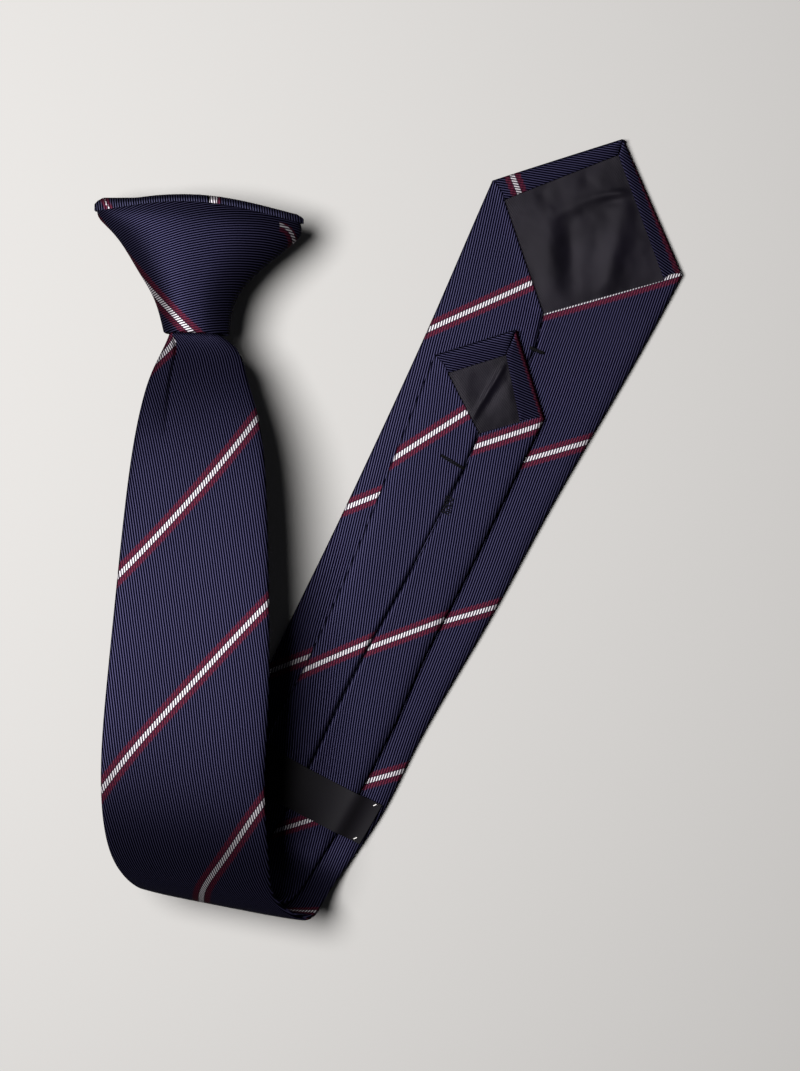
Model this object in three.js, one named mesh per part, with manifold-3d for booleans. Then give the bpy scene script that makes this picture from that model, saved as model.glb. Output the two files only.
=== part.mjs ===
import * as THREE from 'three';
import Module from 'manifold-3d';

// Clip-on tie, laid down folded: front limb face up, right limb back up.
// Millimetres, +Z up, origin under the middle of the whole tie on the table.

const wasm = await Module();
wasm.setup();

// ---- driving dimensions ---------------------------------------------------
const GAP = 0.35;                 // kept between any two pieces
const BLADE_THICK = 3.0;          // cloth folded over its interlining
const TAIL_THICK = 2.8;
const LINING_THICK = 0.8;         // satin of the two tip linings
const LABEL_THICK = 0.8;
const BLADE_POCKET = 1.7;         // depth of the open V at the blade's tip
const TAIL_POCKET = 1.6;
const SEAM_DEPTH = 0.6;           // groove where the two back flaps meet
const SEAM_HALF = 1.3;
const KNOT_WALL = 1.6;
const ROLL_WALL = 1.6;
const ROLL_SETBACK = 1.0;         // the front panel stands this far before the rolls
const CLIP_WIDTH = 12;
const CLIP_THICK = 1.0;
const PLEAT_DEPTH = 1.3;          // tucked left part of the blade under the knot

// Where the blade's two long edges run, at mid thickness, one row per cross fold.
const BLADE_EDGES = [
  { at: 'inside the knot, end', leftX: -70.6, leftY: 96.9, leftZ: 21.0, rightX: -57.6, rightY: 96.2, rightZ: 21.0 },
  { at: 'inside the knot', leftX: -71.4, leftY: 78.6, leftZ: 22.0, rightX: -58.0, rightY: 78.3, rightZ: 22.0 },
  { at: 'knot opening', leftX: -72.2, leftY: 65.4, leftZ: 23.6, rightX: -57.2, rightY: 64.8, rightZ: 23.6 },
  { at: 'neck', leftX: -73.4, leftY: 61.7, leftZ: 24.6, rightX: -52.1, rightY: 60.7, rightZ: 24.6 },
  { at: 'below the neck', leftX: -77.7, leftY: 51.9, leftZ: 28.0, rightX: -47.2, rightY: 50.9, rightZ: 28.0 },
  { at: 'shoulder', leftX: -80.8, leftY: 41.3, leftZ: 31.5, rightX: -44.0, rightY: 40.3, rightZ: 31.5 },
  { at: 'upper blade', leftX: -85.5, leftY: 9.3, leftZ: 38.0, rightX: -39.8, rightY: 8.3, rightZ: 38.0 },
  { at: 'middle blade', leftX: -88.5, leftY: -22.9, leftZ: 42.0, rightX: -38.9, rightY: -24.6, rightZ: 42.0 },
  { at: 'lower blade', leftX: -91.4, leftY: -55.0, leftZ: 44.5, rightX: -39.1, rightY: -58.8, rightZ: 44.5 },
  { at: 'crest', leftX: -92.7, leftY: -76.7, leftZ: 45.0, rightX: -40.2, rightY: -85.4, rightZ: 45.0 },
  { at: 'bend, upper part', leftX: -91.7, leftY: -98.7, leftZ: 40.6, rightX: -39.0, rightY: -108.7, rightZ: 40.6 },
  { at: 'bend, front', leftX: -87.5, leftY: -111.7, leftZ: 31.8, rightX: -36.2, rightY: -122.0, rightZ: 31.0 },
  { at: 'bend, outermost', leftX: -80.4, leftY: -117.7, leftZ: 22.5, rightX: -27.1, rightY: -128.1, rightZ: 22.5 },
  { at: 'bend, below', leftX: -72.8, leftY: -113.0, leftZ: 11.0, rightX: -22.1, rightY: -124.0, rightZ: 10.5 },
  { at: 'bend, lowest part', leftX: -67.4, leftY: -101.9, leftZ: 3.6, rightX: -16.2, rightY: -115.5, rightZ: 3.4 },
  { at: 'back on the table', leftX: -59.1, leftY: -84.6, leftZ: 1.5, rightX: -5.6, rightY: -100.4, rightZ: 1.5 },
  { at: 'keeper label', leftX: -40.1, leftY: -44.1, leftZ: 1.5, rightX: 9.4, rightY: -71.9, rightZ: 1.5 },
  { at: 'right limb, lower', leftX: -22.1, leftY: -7.0, leftZ: 1.5, rightX: 32.3, rightY: -32.4, rightZ: 1.5 },
  { at: 'right limb, middle', leftX: -4.7, leftY: 29.7, leftZ: 1.5, rightX: 51.7, rightY: 3.1, rightZ: 1.5 },
  { at: 'right limb, upper', leftX: 15.2, leftY: 73.3, leftZ: 1.5, rightX: 75.5, rightY: 44.3, rightZ: 1.5 },
  { at: 'corners', leftX: 34.35, leftY: 117.4, leftZ: 1.5, rightX: 97.8, rightY: 84.6, rightZ: 1.5 },
  { at: 'beyond the tip', leftX: 50.9, leftY: 153.1, leftZ: 1.5, rightX: 115.1, rightY: 119.4, rightZ: 1.5 },
];
const NECK_ROW = 3;               // lengths along the tie are counted from this row

// Blade tip, lengths along the tie and distances from its middle line.
const BLADE_TIP = { leftCornerAt: 462.2, leftCorner: -35.7, rightCornerAt: 463.6, rightCorner: 35.7, tipAt: 494.9, tipAside: -2.1 };
const BLADE_START = -30;
const BLADE_POCKET_CORNERS = [
  { at: 'foot of the V', along: 430.2, aside: -0.6 },
  { at: 'left hem', along: 458.1, aside: -29.5 },
  { at: 'tip hem', along: 489.0, aside: -1.2 },
  { at: 'right hem', along: 460.2, aside: 30.4 },
];
const BLADE_SEAM = [
  { along: 300, aside: 2.2 }, { along: 418, aside: 2.3 }, { along: 430.2, aside: -0.6 },
];

// Tail: its two edges as distances from the blade's middle line.
const TAIL_EDGES = [
  { along: -26, left: -6.0, right: 6.0 },
  { along: -4, left: -6.6, right: 6.6 },
  { along: 12, left: -9.5, right: 9.5 },
  { along: 60, left: -13.5, right: 14 },
  { along: 120, left: -16, right: 16.5 },
  { along: 200, left: -17.8, right: 17.4 },
  { along: 260, left: -18.3, right: 17.8 },
  { along: 287, left: -17.3, right: 18.5 },
  { along: 312, left: -18.8, right: 16.5 },
  { along: 360, left: -23.0, right: 16.2 },
  { along: 398.3, left: -26.7, right: 15.6 },
  { along: 401.6, left: -27.1, right: 15.5 },
];
const TAIL_TIP = { leftCornerAt: 401.6, leftCorner: -27.1, rightCornerAt: 398.3, rightCorner: 15.5, tipAt: 421.2, tipAside: -6.6 };
const TAIL_POCKET_CORNERS = [
  { at: 'foot of the V', along: 384.4, aside: -1.7 },
  { at: 'left hem', along: 398.0, aside: -20.3 },
  { at: 'tip hem', along: 411.7, aside: -5.7 },
  { at: 'right hem', along: 393.6, aside: 8.9 },
];
const TAIL_SEAM = [
  { along: 240, aside: -1.4 }, { along: 307, aside: -1.5 }, { along: 371.6, aside: -0.6 }, { along: 384.4, aside: -1.7 },
];

// Keeper label: a band across the tail, its ends down on the blade.
const LABEL_AT = { from: 243.3, fromLean: -0.21, to: 258.1, toLean: -0.14 };
const LABEL_LINE = [
  { aside: -25.4, under: 2.35 }, { aside: -22.6, under: 2.4 }, { aside: -20.4, under: 3.75 },
  { aside: -18.6, under: 5.35 }, { aside: -15, under: 5.6 }, { aside: 0, under: 5.65 },
  { aside: 14.5, under: 5.6 }, { aside: 18.1, under: 5.35 }, { aside: 20.0, under: 3.75 },
  { aside: 22.4, under: 2.4 }, { aside: 26.3, under: 2.35 },
];

// Knot: one row per cross-section, from the opening up to the top edge.
const KNOT_ROWS = [
  { at: 'opening', leftX: -74.9, leftY: 64.9, rightX: -53.4, rightY: 64.2, edgeZ: 22.4, frontZ: 29.6, backZ: 14.8, bow: 0 },
  { at: 'lower', leftX: -78.1, leftY: 75.4, rightX: -51.0, rightY: 75.1, edgeZ: 21.4, frontZ: 30.4, backZ: 13.2, bow: 0.3 },
  { at: 'middle', leftX: -83.1, leftY: 84.6, rightX: -43.4, rightY: 84.8, edgeZ: 20.4, frontZ: 31.2, backZ: 11.5, bow: 0.8 },
  { at: 'upper', leftX: -90.0, leftY: 95.4, rightX: -32.2, rightY: 93.6, edgeZ: 19.0, frontZ: 31.0, backZ: 10.2, bow: 1.9 },
  { at: 'shoulder', leftX: -95.4, leftY: 102.0, rightX: -29.3, rightY: 98.2, edgeZ: 19.0, frontZ: 29.6, backZ: 9.7, bow: 3.1 },
  { at: 'top edge', leftX: -96.7, leftY: 104.8, rightX: -29.5, rightY: 100.3, edgeZ: 19.0, frontZ: 27.6, backZ: 9.7, bow: 4.1 },
];
const KNOT_ROUNDNESS = 2.5;

// Rolls over the knot's top edge: outermost height above the table's edge line (Y) per place.
const ROLL_LEFT = [
  { x: -97.6, top: 107.3, depth: 1.5, rise: 1.9 },
  { x: -95.9, top: 109.3, depth: 2.6, rise: 2.7 },
  { x: -90.5, top: 109.2, depth: 5.0, rise: 2.8 },
  { x: -80.5, top: 109.2, depth: 7.0, rise: 2.9 },
  { x: -70.0, top: 109.8, depth: 7.7, rise: 2.9 },
  { x: -59.7, top: 109.7, depth: 7.9, rise: 2.9 },
];
const ROLL_RIGHT = [
  { x: -59.3, top: 109.4, depth: 7.9, rise: 2.9 },
  { x: -54.8, top: 108.3, depth: 7.7, rise: 2.9 },
  { x: -48.2, top: 106.7, depth: 7.2, rise: 2.9 },
  { x: -41.6, top: 105.3, depth: 6.3, rise: 2.9 },
  { x: -35.0, top: 104.5, depth: 4.6, rise: 2.9 },
  { x: -31.1, top: 103.9, depth: 3.0, rise: 2.7 },
  { x: -29.3, top: 102.2, depth: 1.6, rise: 1.9 },
];

// Collar clip under the knot, bent from one strip; the mouth opens toward the blade.
const CLIP_LINE = [
  { y: 79.0, z: 1.1 }, { y: 81.5, z: 0.55 }, { y: 84.0, z: 0.5 }, { y: 101.0, z: 0.5 },
  { y: 103.0, z: 1.05 }, { y: 104.5, z: 2.55 }, { y: 105.0, z: 4.6 }, { y: 104.5, z: 6.65 },
  { y: 103.0, z: 8.15 }, { y: 101.0, z: 8.7 }, { y: 86.0, z: 8.7 },
];
const CLIP_X = -62.6;

// ---- small tools ------------------------------------------------------------
const vec = (x, y, z) => new THREE.Vector3(x, y, z);
const lerp = (a, b, t) => a + (b - a) * t;
const smooth = (a, b, x) => { const t = Math.min(1, Math.max(0, (x - a) / (b - a))); return t * t * (3 - 2 * t); };

/** Value of a named column of a table at one place of its first column. */
function readTable(table, key, column, x) {
  if (x <= table[0][key]) return table[0][column];
  for (let i = 1; i < table.length; i++) {
    if (x <= table[i][key]) {
      return lerp(table[i - 1][column], table[i][column], (x - table[i - 1][key]) / (table[i][key] - table[i - 1][key]));
    }
  }
  return table[table.length - 1][column];
}

/** Smooth curve through values given at rising places. */
function splineThrough(places, values) {
  const n = places.length;
  const m = new Array(n).fill(0);
  const c = new Array(n).fill(0);
  const d = new Array(n).fill(0);
  for (let i = 1; i < n - 1; i++) {
    const h0 = places[i] - places[i - 1];
    const h1 = places[i + 1] - places[i];
    const r = 6 * ((values[i + 1] - values[i]) / h1 - (values[i] - values[i - 1]) / h0);
    const p = 2 * (h0 + h1) - h0 * c[i - 1];
    c[i] = h1 / p;
    d[i] = (r - h0 * d[i - 1]) / p;
  }
  for (let i = n - 2; i > 0; i--) m[i] = d[i] - c[i] * m[i + 1];
  return (x) => {
    let i = 0;
    while (i < n - 2 && x > places[i + 1]) i++;
    const h = places[i + 1] - places[i];
    const a = (places[i + 1] - x) / h;
    const b = 1 - a;
    return a * values[i] + b * values[i + 1] + ((a ** 3 - a) * m[i] + (b ** 3 - b) * m[i + 1]) * h * h / 6;
  };
}

/** The surface that the whole band lies in, from the two edge lines. */
function layBand(rows) {
  const left = rows.map((r) => vec(r.leftX, r.leftY, r.leftZ));
  const right = rows.map((r) => vec(r.rightX, r.rightY, r.rightZ));
  const mid = left.map((p, i) => p.clone().add(right[i]).multiplyScalar(0.5));
  const u = [0];
  for (let i = 1; i < mid.length; i++) u.push(u[i - 1] + mid[i].distanceTo(mid[i - 1]));
  const curve = (pts) => {
    const f = ['x', 'y', 'z'].map((k) => splineThrough(u, pts.map((p) => p[k])));
    return (x) => vec(f[0](x), f[1](x), f[2](x));
  };
  const L = curve(left);
  const R = curve(right);
  const steps = 2000;
  const samples = [];
  let run = 0;
  for (let i = 0; i <= steps; i++) {
    const x = u[u.length - 1] * i / steps;
    const l = L(x);
    const r = R(x);
    const c = l.clone().add(r).multiplyScalar(0.5);
    if (i) run += c.distanceTo(samples[i - 1].c);
    samples.push({ x, s: run, l, r, c });
  }
  const neck = readTable(samples, 'x', 's', u[NECK_ROW]);
  samples.forEach((p) => { p.s -= neck; });
  const placeOf = (s) => readTable(samples, 's', 'x', s);
  return (s) => {
    const x = placeOf(s);
    const l = L(x);
    const r = R(x);
    const c = l.clone().add(r).multiplyScalar(0.5);
    const across = r.clone().sub(l);
    const width = across.length();
    across.normalize();
    const ahead = L(x + 0.5).add(R(x + 0.5)).sub(L(x - 0.5)).sub(R(x - 0.5)).normalize();
    const normal = ahead.clone().cross(across).normalize();
    return { c, across, normal, width };
  };
}
const band = layBand(BLADE_EDGES);

/** Depth of the tucked pleat under the knot. */
const pleat = (s, v) => -PLEAT_DEPTH * smooth(-3, 6, s) * (1 - smooth(10, 46, s)) * (1 - smooth(-9.5, -6.5, v + 0.05 * s));

/** Point at a length, a distance aside and a height before the band's middle surface. */
function bandPoint(s, v, h) {
  const b = band(s);
  return b.c.clone().addScaledVector(b.across, v).addScaledVector(b.normal, h);
}

/** Closed skin over rings of the same number of points, closed at both ends. */
function loft(rings, closedRound = false) {
  const pos = [];
  const idx = [];
  const n = rings[0].length;
  rings.forEach((ring) => ring.forEach((p) => pos.push(p.x, p.y, p.z)));
  const rows = rings.length;
  const last = closedRound ? rows : rows - 1;
  for (let i = 0; i < last; i++) {
    const i1 = (i + 1) % rows;
    for (let j = 0; j < n; j++) {
      const j1 = (j + 1) % n;
      const a = i * n + j;
      const b = i * n + j1;
      const c = i1 * n + j1;
      const d = i1 * n + j;
      idx.push(a, b, c, a, c, d);
    }
  }
  if (!closedRound) {
    for (const [row, flip] of [[0, true], [rows - 1, false]]) {
      const mid = rings[row].reduce((q, p) => q.add(p), vec(0, 0, 0)).multiplyScalar(1 / n);
      const m = pos.length / 3;
      pos.push(mid.x, mid.y, mid.z);
      for (let j = 0; j < n; j++) {
        const a = row * n + j;
        const b = row * n + (j + 1) % n;
        if (flip) idx.push(m, b, a); else idx.push(m, a, b);
      }
    }
  }
  let volume = 0;
  const at = (k) => vec(pos[3 * k], pos[3 * k + 1], pos[3 * k + 2]);
  for (let k = 0; k < idx.length; k += 3) volume += at(idx[k]).dot(at(idx[k + 1]).cross(at(idx[k + 2])));
  if (volume < 0) for (let k = 0; k < idx.length; k += 3) [idx[k + 1], idx[k + 2]] = [idx[k + 2], idx[k + 1]];
  const g = new THREE.BufferGeometry();
  g.setAttribute('position', new THREE.Float32BufferAttribute(pos, 3));
  g.setIndex(idx);
  return g;
}

/** Cuts one closed shape out of another. */
function cut(body, tool) {
  const solid = (g) => new wasm.Manifold(new wasm.Mesh({
    numProp: 3,
    vertProperties: Float32Array.from(g.attributes.position.array),
    triVerts: Uint32Array.from(g.index.array),
  }));
  const out = solid(body).subtract(solid(tool)).getMesh();
  const g = new THREE.BufferGeometry();
  g.setAttribute('position', new THREE.Float32BufferAttribute(Float32Array.from(out.vertProperties), 3));
  g.setIndex(Array.from(out.triVerts));
  return g;
}

/** Upright block over a flat outline given as lengths and distances aside. */
function blockOver(corners, low, high) {
  const ring = (z) => corners.map((k) => { const p = bandPoint(k.along, k.aside, 0); return vec(p.x, p.y, z); });
  return loft([ring(low), ring(high)]);
}

/** Corners moved in toward the middle of their outline. */
function shrink(corners, by) {
  const n = corners.length;
  return corners.map((k, i) => {
    const a = corners[(i + n - 1) % n];
    const b = corners[(i + 1) % n];
    const e0 = new THREE.Vector2(k.along - a.along, k.aside - a.aside).normalize();
    const e1 = new THREE.Vector2(b.along - k.along, b.aside - k.aside).normalize();
    const turn = Math.sign(e0.cross(e1));
    const n0 = new THREE.Vector2(-e0.y, e0.x).multiplyScalar(turn);
    const n1 = new THREE.Vector2(-e1.y, e1.x).multiplyScalar(turn);
    const m = n0.clone().add(n1).normalize();
    const d = by / m.dot(n0);
    return { along: k.along + m.x * d, aside: k.aside + m.y * d };
  });
}

/** Cross-section of a folded band: rounded edges and a seam groove in the back. */
function bandRing(s, left, right, mid, thick, seamAside, seamDepth, dip = () => 0) {
  const r = thick / 2;
  const ring = [];
  const put = (v, h) => ring.push(bandPoint(s, v, mid + h + dip(s, v) * (h + r) / thick));
  const a = left + r;
  const b = Math.max(right - r, a + 0.4);
  const columns = [0, 0.12, 0.25, 0.38, 0.5, 0.7, 0.86, 1];
  for (const k of columns) put(lerp(a, b, k), r);
  for (const deg of [50, 0, -50]) {
    const t = THREE.MathUtils.degToRad(deg);
    put(b + r * Math.cos(t), r * Math.sin(t));
  }
  const seam = Math.min(b - SEAM_HALF, Math.max(a + SEAM_HALF, seamAside));
  const half = b - a > 3 * SEAM_HALF ? SEAM_HALF : (b - a) / 6;
  const middle = b - a > 3 * SEAM_HALF ? seam : (a + b) / 2;
  put(b, -r);
  put((b + middle + half) / 2, -r);
  put(middle + half, -r);
  put(middle, seamDepth - r);
  put(middle - half, -r);
  put((a + middle - half) / 2, -r);
  put(a, -r);
  for (const deg of [230, 180, 130]) {
    const t = THREE.MathUtils.degToRad(deg);
    put(a + r * Math.cos(t), r * Math.sin(t));
  }
  return ring;
}

/** Lengths at which a band gets a cross-section, closer together where it bends. */
function stations(from, to, tip) {
  const corners = [tip.leftCornerAt, tip.rightCornerAt].sort((a, b) => a - b);
  const out = [];
  for (let s = from; s < corners[0] - 3;) {
    out.push(s);
    s += s < 26 ? 4 : s < 130 ? 13 : s < 250 ? 4.5 : 16;
  }
  out.push(...corners);
  for (let i = 1; i <= 4; i++) out.push(lerp(corners[1], to, i / 4));
  return out;
}

/** Edge of a pointed end. */
function pointed(tip, s, side, base) {
  const cornerAt = side < 0 ? tip.leftCornerAt : tip.rightCornerAt;
  if (s <= cornerAt) return base;
  return lerp(side < 0 ? tip.leftCorner : tip.rightCorner, tip.tipAside, (s - cornerAt) / (tip.tipAt - cornerAt));
}

// ---- the pieces --------------------------------------------------------------
function frontBlade() {
  const end = BLADE_TIP.tipAt - 1.4;
  const rings = stations(BLADE_START, end, BLADE_TIP).map((s) => {
    const half = band(s).width / 2;
    const depth = SEAM_DEPTH * smooth(300, 312, s) * (1 - smooth(428, 433, s));
    return bandRing(s, pointed(BLADE_TIP, s, -1, -half), pointed(BLADE_TIP, s, 1, half), 0, BLADE_THICK,
      readTable(BLADE_SEAM, 'along', 'aside', s), depth, pleat);
  });
  return cut(loft(rings), blockOver(BLADE_POCKET_CORNERS, BLADE_THICK - BLADE_POCKET, BLADE_THICK + 5));
}

const TAIL_MID = -(BLADE_THICK / 2 + GAP + TAIL_THICK / 2);
const TAIL_TOP_Z = BLADE_THICK + GAP + TAIL_THICK;
function tailBlade() {
  const end = TAIL_TIP.tipAt - 1.3;
  const rings = stations(TAIL_EDGES[0].along, end, TAIL_TIP).map((s) => {
    const left = pointed(TAIL_TIP, s, -1, readTable(TAIL_EDGES, 'along', 'left', s));
    const right = pointed(TAIL_TIP, s, 1, readTable(TAIL_EDGES, 'along', 'right', s));
    const depth = SEAM_DEPTH * smooth(240, 250, s) * (1 - smooth(384, 388, s));
    return bandRing(s, left, right, TAIL_MID, TAIL_THICK, readTable(TAIL_SEAM, 'along', 'aside', s), depth);
  });
  return cut(loft(rings), blockOver(TAIL_POCKET_CORNERS, TAIL_TOP_Z - TAIL_POCKET, TAIL_TOP_Z + 5));
}

/** Satin lying in the open V of a tip. */
function tipLining(corners, topZ, pocket) {
  const low = topZ - pocket + GAP;
  return blockOver(shrink(corners, GAP), low, low + LINING_THICK);
}

function keeperLabel() {
  const rings = LABEL_LINE.map((k) => {
    const ring = [];
    const from = LABEL_AT.from + LABEL_AT.fromLean * k.aside;
    const to = LABEL_AT.to + LABEL_AT.toLean * k.aside;
    for (const [s, side] of [[from, 1], [(from + to) / 2, 1], [to, 1], [to, -1], [(from + to) / 2, -1], [from, -1]]) {
      ring.push(bandPoint(s, k.aside, -k.under + side * LABEL_THICK / 2));
    }
    return ring;
  });
  return loft(rings);
}

/** One closed line around the knot at a row, moved in by a wall. */
function knotRing(row, inset, count) {
  const ring = [];
  const l = vec(row.leftX, row.leftY, row.edgeZ);
  const r = vec(row.rightX, row.rightY, row.edgeZ);
  const mid = l.clone().add(r).multiplyScalar(0.5);
  const out = r.clone().sub(l).multiplyScalar(0.5);
  const half = out.length();
  out.normalize();
  const e = 2 / KNOT_ROUNDNESS;
  for (let i = 0; i < count; i++) {
    const t = 2 * Math.PI * i / count;
    const cx = Math.sign(Math.cos(t)) * Math.abs(Math.cos(t)) ** e;
    const cz = Math.sign(Math.sin(t)) * Math.abs(Math.sin(t)) ** e;
    const depth = cz > 0 ? row.frontZ - row.edgeZ : row.edgeZ - row.backZ;
    const p = mid.clone().addScaledVector(out, cx * (half - inset));
    p.z += cz * (depth - inset);
    p.y += row.bow * (1 - cx * cx) ** 1.5;
    ring.push(p);
  }
  return ring;
}

function knotWrap() {
  const outer = KNOT_ROWS.map((row) => knotRing(row, 0, 28));
  const inner = KNOT_ROWS.map((row) => knotRing(row, KNOT_WALL, 28)).reverse();
  return loft([...outer, ...inner], true);
}

/** Height of the knot's top edge line at one place across. */
function topEdge(x) {
  const row = KNOT_ROWS[KNOT_ROWS.length - 1];
  const k = 2 * (x - row.leftX) / (row.rightX - row.leftX) - 1;
  return lerp(row.leftY, row.rightY, (k + 1) / 2) + row.bow * Math.max(0, 1 - k * k) ** 1.5;
}

function knotRoll(rows) {
  const base = KNOT_ROWS[KNOT_ROWS.length - 1];
  const middle = (base.frontZ + base.backZ) / 2;
  const rings = rows.map((row) => {
    const ring = [];
    const low = topEdge(row.x) + GAP + 0.1;
    const rise = Math.max(row.top - low, row.rise);
    const depth = row.depth;
    const arc = (a, h, turns) => turns.forEach((deg) => {
      const t = THREE.MathUtils.degToRad(deg);
      ring.push(vec(row.x, low + h * Math.sin(t) ** 0.8, middle + 0.3 + a * Math.cos(t)));
    });
    arc(depth, rise, [0, 25, 55, 90, 125, 155, 180]);
    const wall = Math.min(ROLL_WALL, 0.55 * depth);
    arc(depth - wall, rise - Math.min(ROLL_WALL, 0.55 * rise), [180, 150, 120, 90, 60, 30, 0]);
    return ring;
  });
  return loft(rings);
}

function collarClip() {
  const half = CLIP_THICK / 2;
  const rings = CLIP_LINE.map((p, i) => {
    const a = CLIP_LINE[Math.max(0, i - 1)];
    const b = CLIP_LINE[Math.min(CLIP_LINE.length - 1, i + 1)];
    const along = new THREE.Vector2(b.y - a.y, b.z - a.z).normalize();
    const ny = -along.y * half;
    const nz = along.x * half;
    const w = CLIP_WIDTH / 2;
    return [
      vec(CLIP_X - w, p.y + ny, p.z + nz), vec(CLIP_X + w, p.y + ny, p.z + nz),
      vec(CLIP_X + w, p.y - ny, p.z - nz), vec(CLIP_X - w, p.y - ny, p.z - nz),
    ];
  });
  return loft(rings);
}

// ---- colours -------------------------------------------------------------------
const FINISHES = {
  navy_rib_cloth: { color: 0x23243d, roughness: 0.62, metalness: 0 },
  black_satin: { color: 0x141418, roughness: 0.45, metalness: 0 },
  black_label: { color: 0x101013, roughness: 0.5, metalness: 0 },
  clip_steel: { color: 0xa9abb0, roughness: 0.35, metalness: 1 },
};
const group = new THREE.Group();
group.name = 'clip_on_tie';
function add(name, geometry, finish) {
  const material = new THREE.MeshStandardMaterial(FINISHES[finish]);
  material.name = finish;
  geometry.computeVertexNormals();
  const mesh = new THREE.Mesh(geometry, material);
  mesh.name = name;
  group.add(mesh);
}

add('front_blade', frontBlade(), 'navy_rib_cloth');
add('tail_blade', tailBlade(), 'navy_rib_cloth');
add('blade_tip_lining', tipLining(BLADE_POCKET_CORNERS, BLADE_THICK, BLADE_POCKET), 'black_satin');
add('tail_tip_lining', tipLining(TAIL_POCKET_CORNERS, TAIL_TOP_Z, TAIL_POCKET), 'black_satin');
add('keeper_label', keeperLabel(), 'black_label');
add('knot_wrap', knotWrap(), 'navy_rib_cloth');
add('knot_roll_left', knotRoll(ROLL_LEFT), 'navy_rib_cloth');
add('knot_roll_right', knotRoll(ROLL_RIGHT), 'navy_rib_cloth');
add('collar_clip', collarClip(), 'clip_steel');

export default group;
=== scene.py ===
"""Cloth shapes, weave, stitches, light and camera of the clip-on tie.

The tables give lengths in millimetres; what stands in the scene is in metres.
"along" is the length down the tie from the knot, "aside" the distance from the
middle line and "out" the height over the band's middle surface, toward the face.
"""

import logging
import math
from dataclasses import dataclass
from enum import Enum
from typing import Optional, Sequence, Union

import bpy
import numpy as np
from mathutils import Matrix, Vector


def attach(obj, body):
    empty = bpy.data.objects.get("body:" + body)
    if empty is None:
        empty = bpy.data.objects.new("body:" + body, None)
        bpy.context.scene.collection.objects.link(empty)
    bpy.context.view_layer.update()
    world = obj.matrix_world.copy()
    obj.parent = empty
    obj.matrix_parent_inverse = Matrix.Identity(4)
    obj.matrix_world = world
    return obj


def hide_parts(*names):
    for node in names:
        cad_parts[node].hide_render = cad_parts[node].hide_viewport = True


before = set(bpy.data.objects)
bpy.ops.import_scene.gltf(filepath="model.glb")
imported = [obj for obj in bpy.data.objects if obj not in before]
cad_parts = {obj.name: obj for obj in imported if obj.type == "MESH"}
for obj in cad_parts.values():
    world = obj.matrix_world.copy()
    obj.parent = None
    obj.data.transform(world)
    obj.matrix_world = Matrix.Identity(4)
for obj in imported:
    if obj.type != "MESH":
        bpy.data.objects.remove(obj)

log = logging.getLogger("clip_on_tie")

MM = 0.001

# A distance from the stripes, in mm, at which none is seen.
NO_STRIPE = 20.0

Array = np.ndarray
Node = bpy.types.Node
Socket = bpy.types.NodeSocket


# Where the blade's two long edges run, at mid thickness, one row per cross fold.
# Columns: left x, y, z and right x, y, z.
BLADE_EDGES = (
    (-70.6, 96.9, 21.0, -57.6, 96.2, 21.0),
    (-71.4, 78.6, 22.0, -58.0, 78.3, 22.0),
    (-72.2, 65.4, 23.6, -57.2, 64.8, 23.6),
    (-73.4, 61.7, 24.6, -52.1, 60.7, 24.6),
    (-77.7, 51.9, 28.0, -47.2, 50.9, 28.0),
    (-80.8, 41.3, 31.5, -44.0, 40.3, 31.5),
    (-85.5, 9.3, 38.0, -39.8, 8.3, 38.0),
    (-88.5, -22.9, 42.0, -38.9, -24.6, 42.0),
    (-91.4, -55.0, 44.5, -39.1, -58.8, 44.5),
    (-92.7, -76.7, 45.0, -40.2, -85.4, 45.0),
    (-91.7, -98.7, 40.6, -39.0, -108.7, 40.6),
    (-87.5, -111.7, 31.8, -36.2, -122.0, 31.0),
    (-80.4, -117.7, 22.5, -27.1, -128.1, 22.5),
    (-72.8, -113.0, 11.0, -22.1, -124.0, 10.5),
    (-67.4, -101.9, 3.6, -16.2, -115.5, 3.4),
    (-59.1, -84.6, 1.5, -5.6, -100.4, 1.5),
    (-40.1, -44.1, 1.5, 9.4, -71.9, 1.5),
    (-22.1, -7.0, 1.5, 32.3, -32.4, 1.5),
    (-4.7, 29.7, 1.5, 51.7, 3.1, 1.5),
    (15.2, 73.3, 1.5, 75.5, 44.3, 1.5),
    (34.35, 117.4, 1.5, 97.8, 84.6, 1.5),
    (50.9, 153.1, 1.5, 115.1, 119.4, 1.5),
)
NECK_ROW = 3


class Part(Enum):
    """The faces of a folded band, each with its own lie of the weave."""

    FRONT = 0
    LEFT_FLAP = 1
    RIGHT_FLAP = 2
    LEFT_HEM = 3
    RIGHT_HEM = 4
    INSIDE = 5


def smooth(low: float, high: float, x: Array) -> Array:
    """Soft step.

    Args:
        low: Where the step starts.
        high: Where it ends.
        x: Places to read it at.

    Returns:
        0 below low, 1 above high, and a soft rise between.
    """
    t = np.clip((np.asarray(x, float) - low) / (high - low), 0.0, 1.0)
    return t * t * (3.0 - 2.0 * t)


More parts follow.
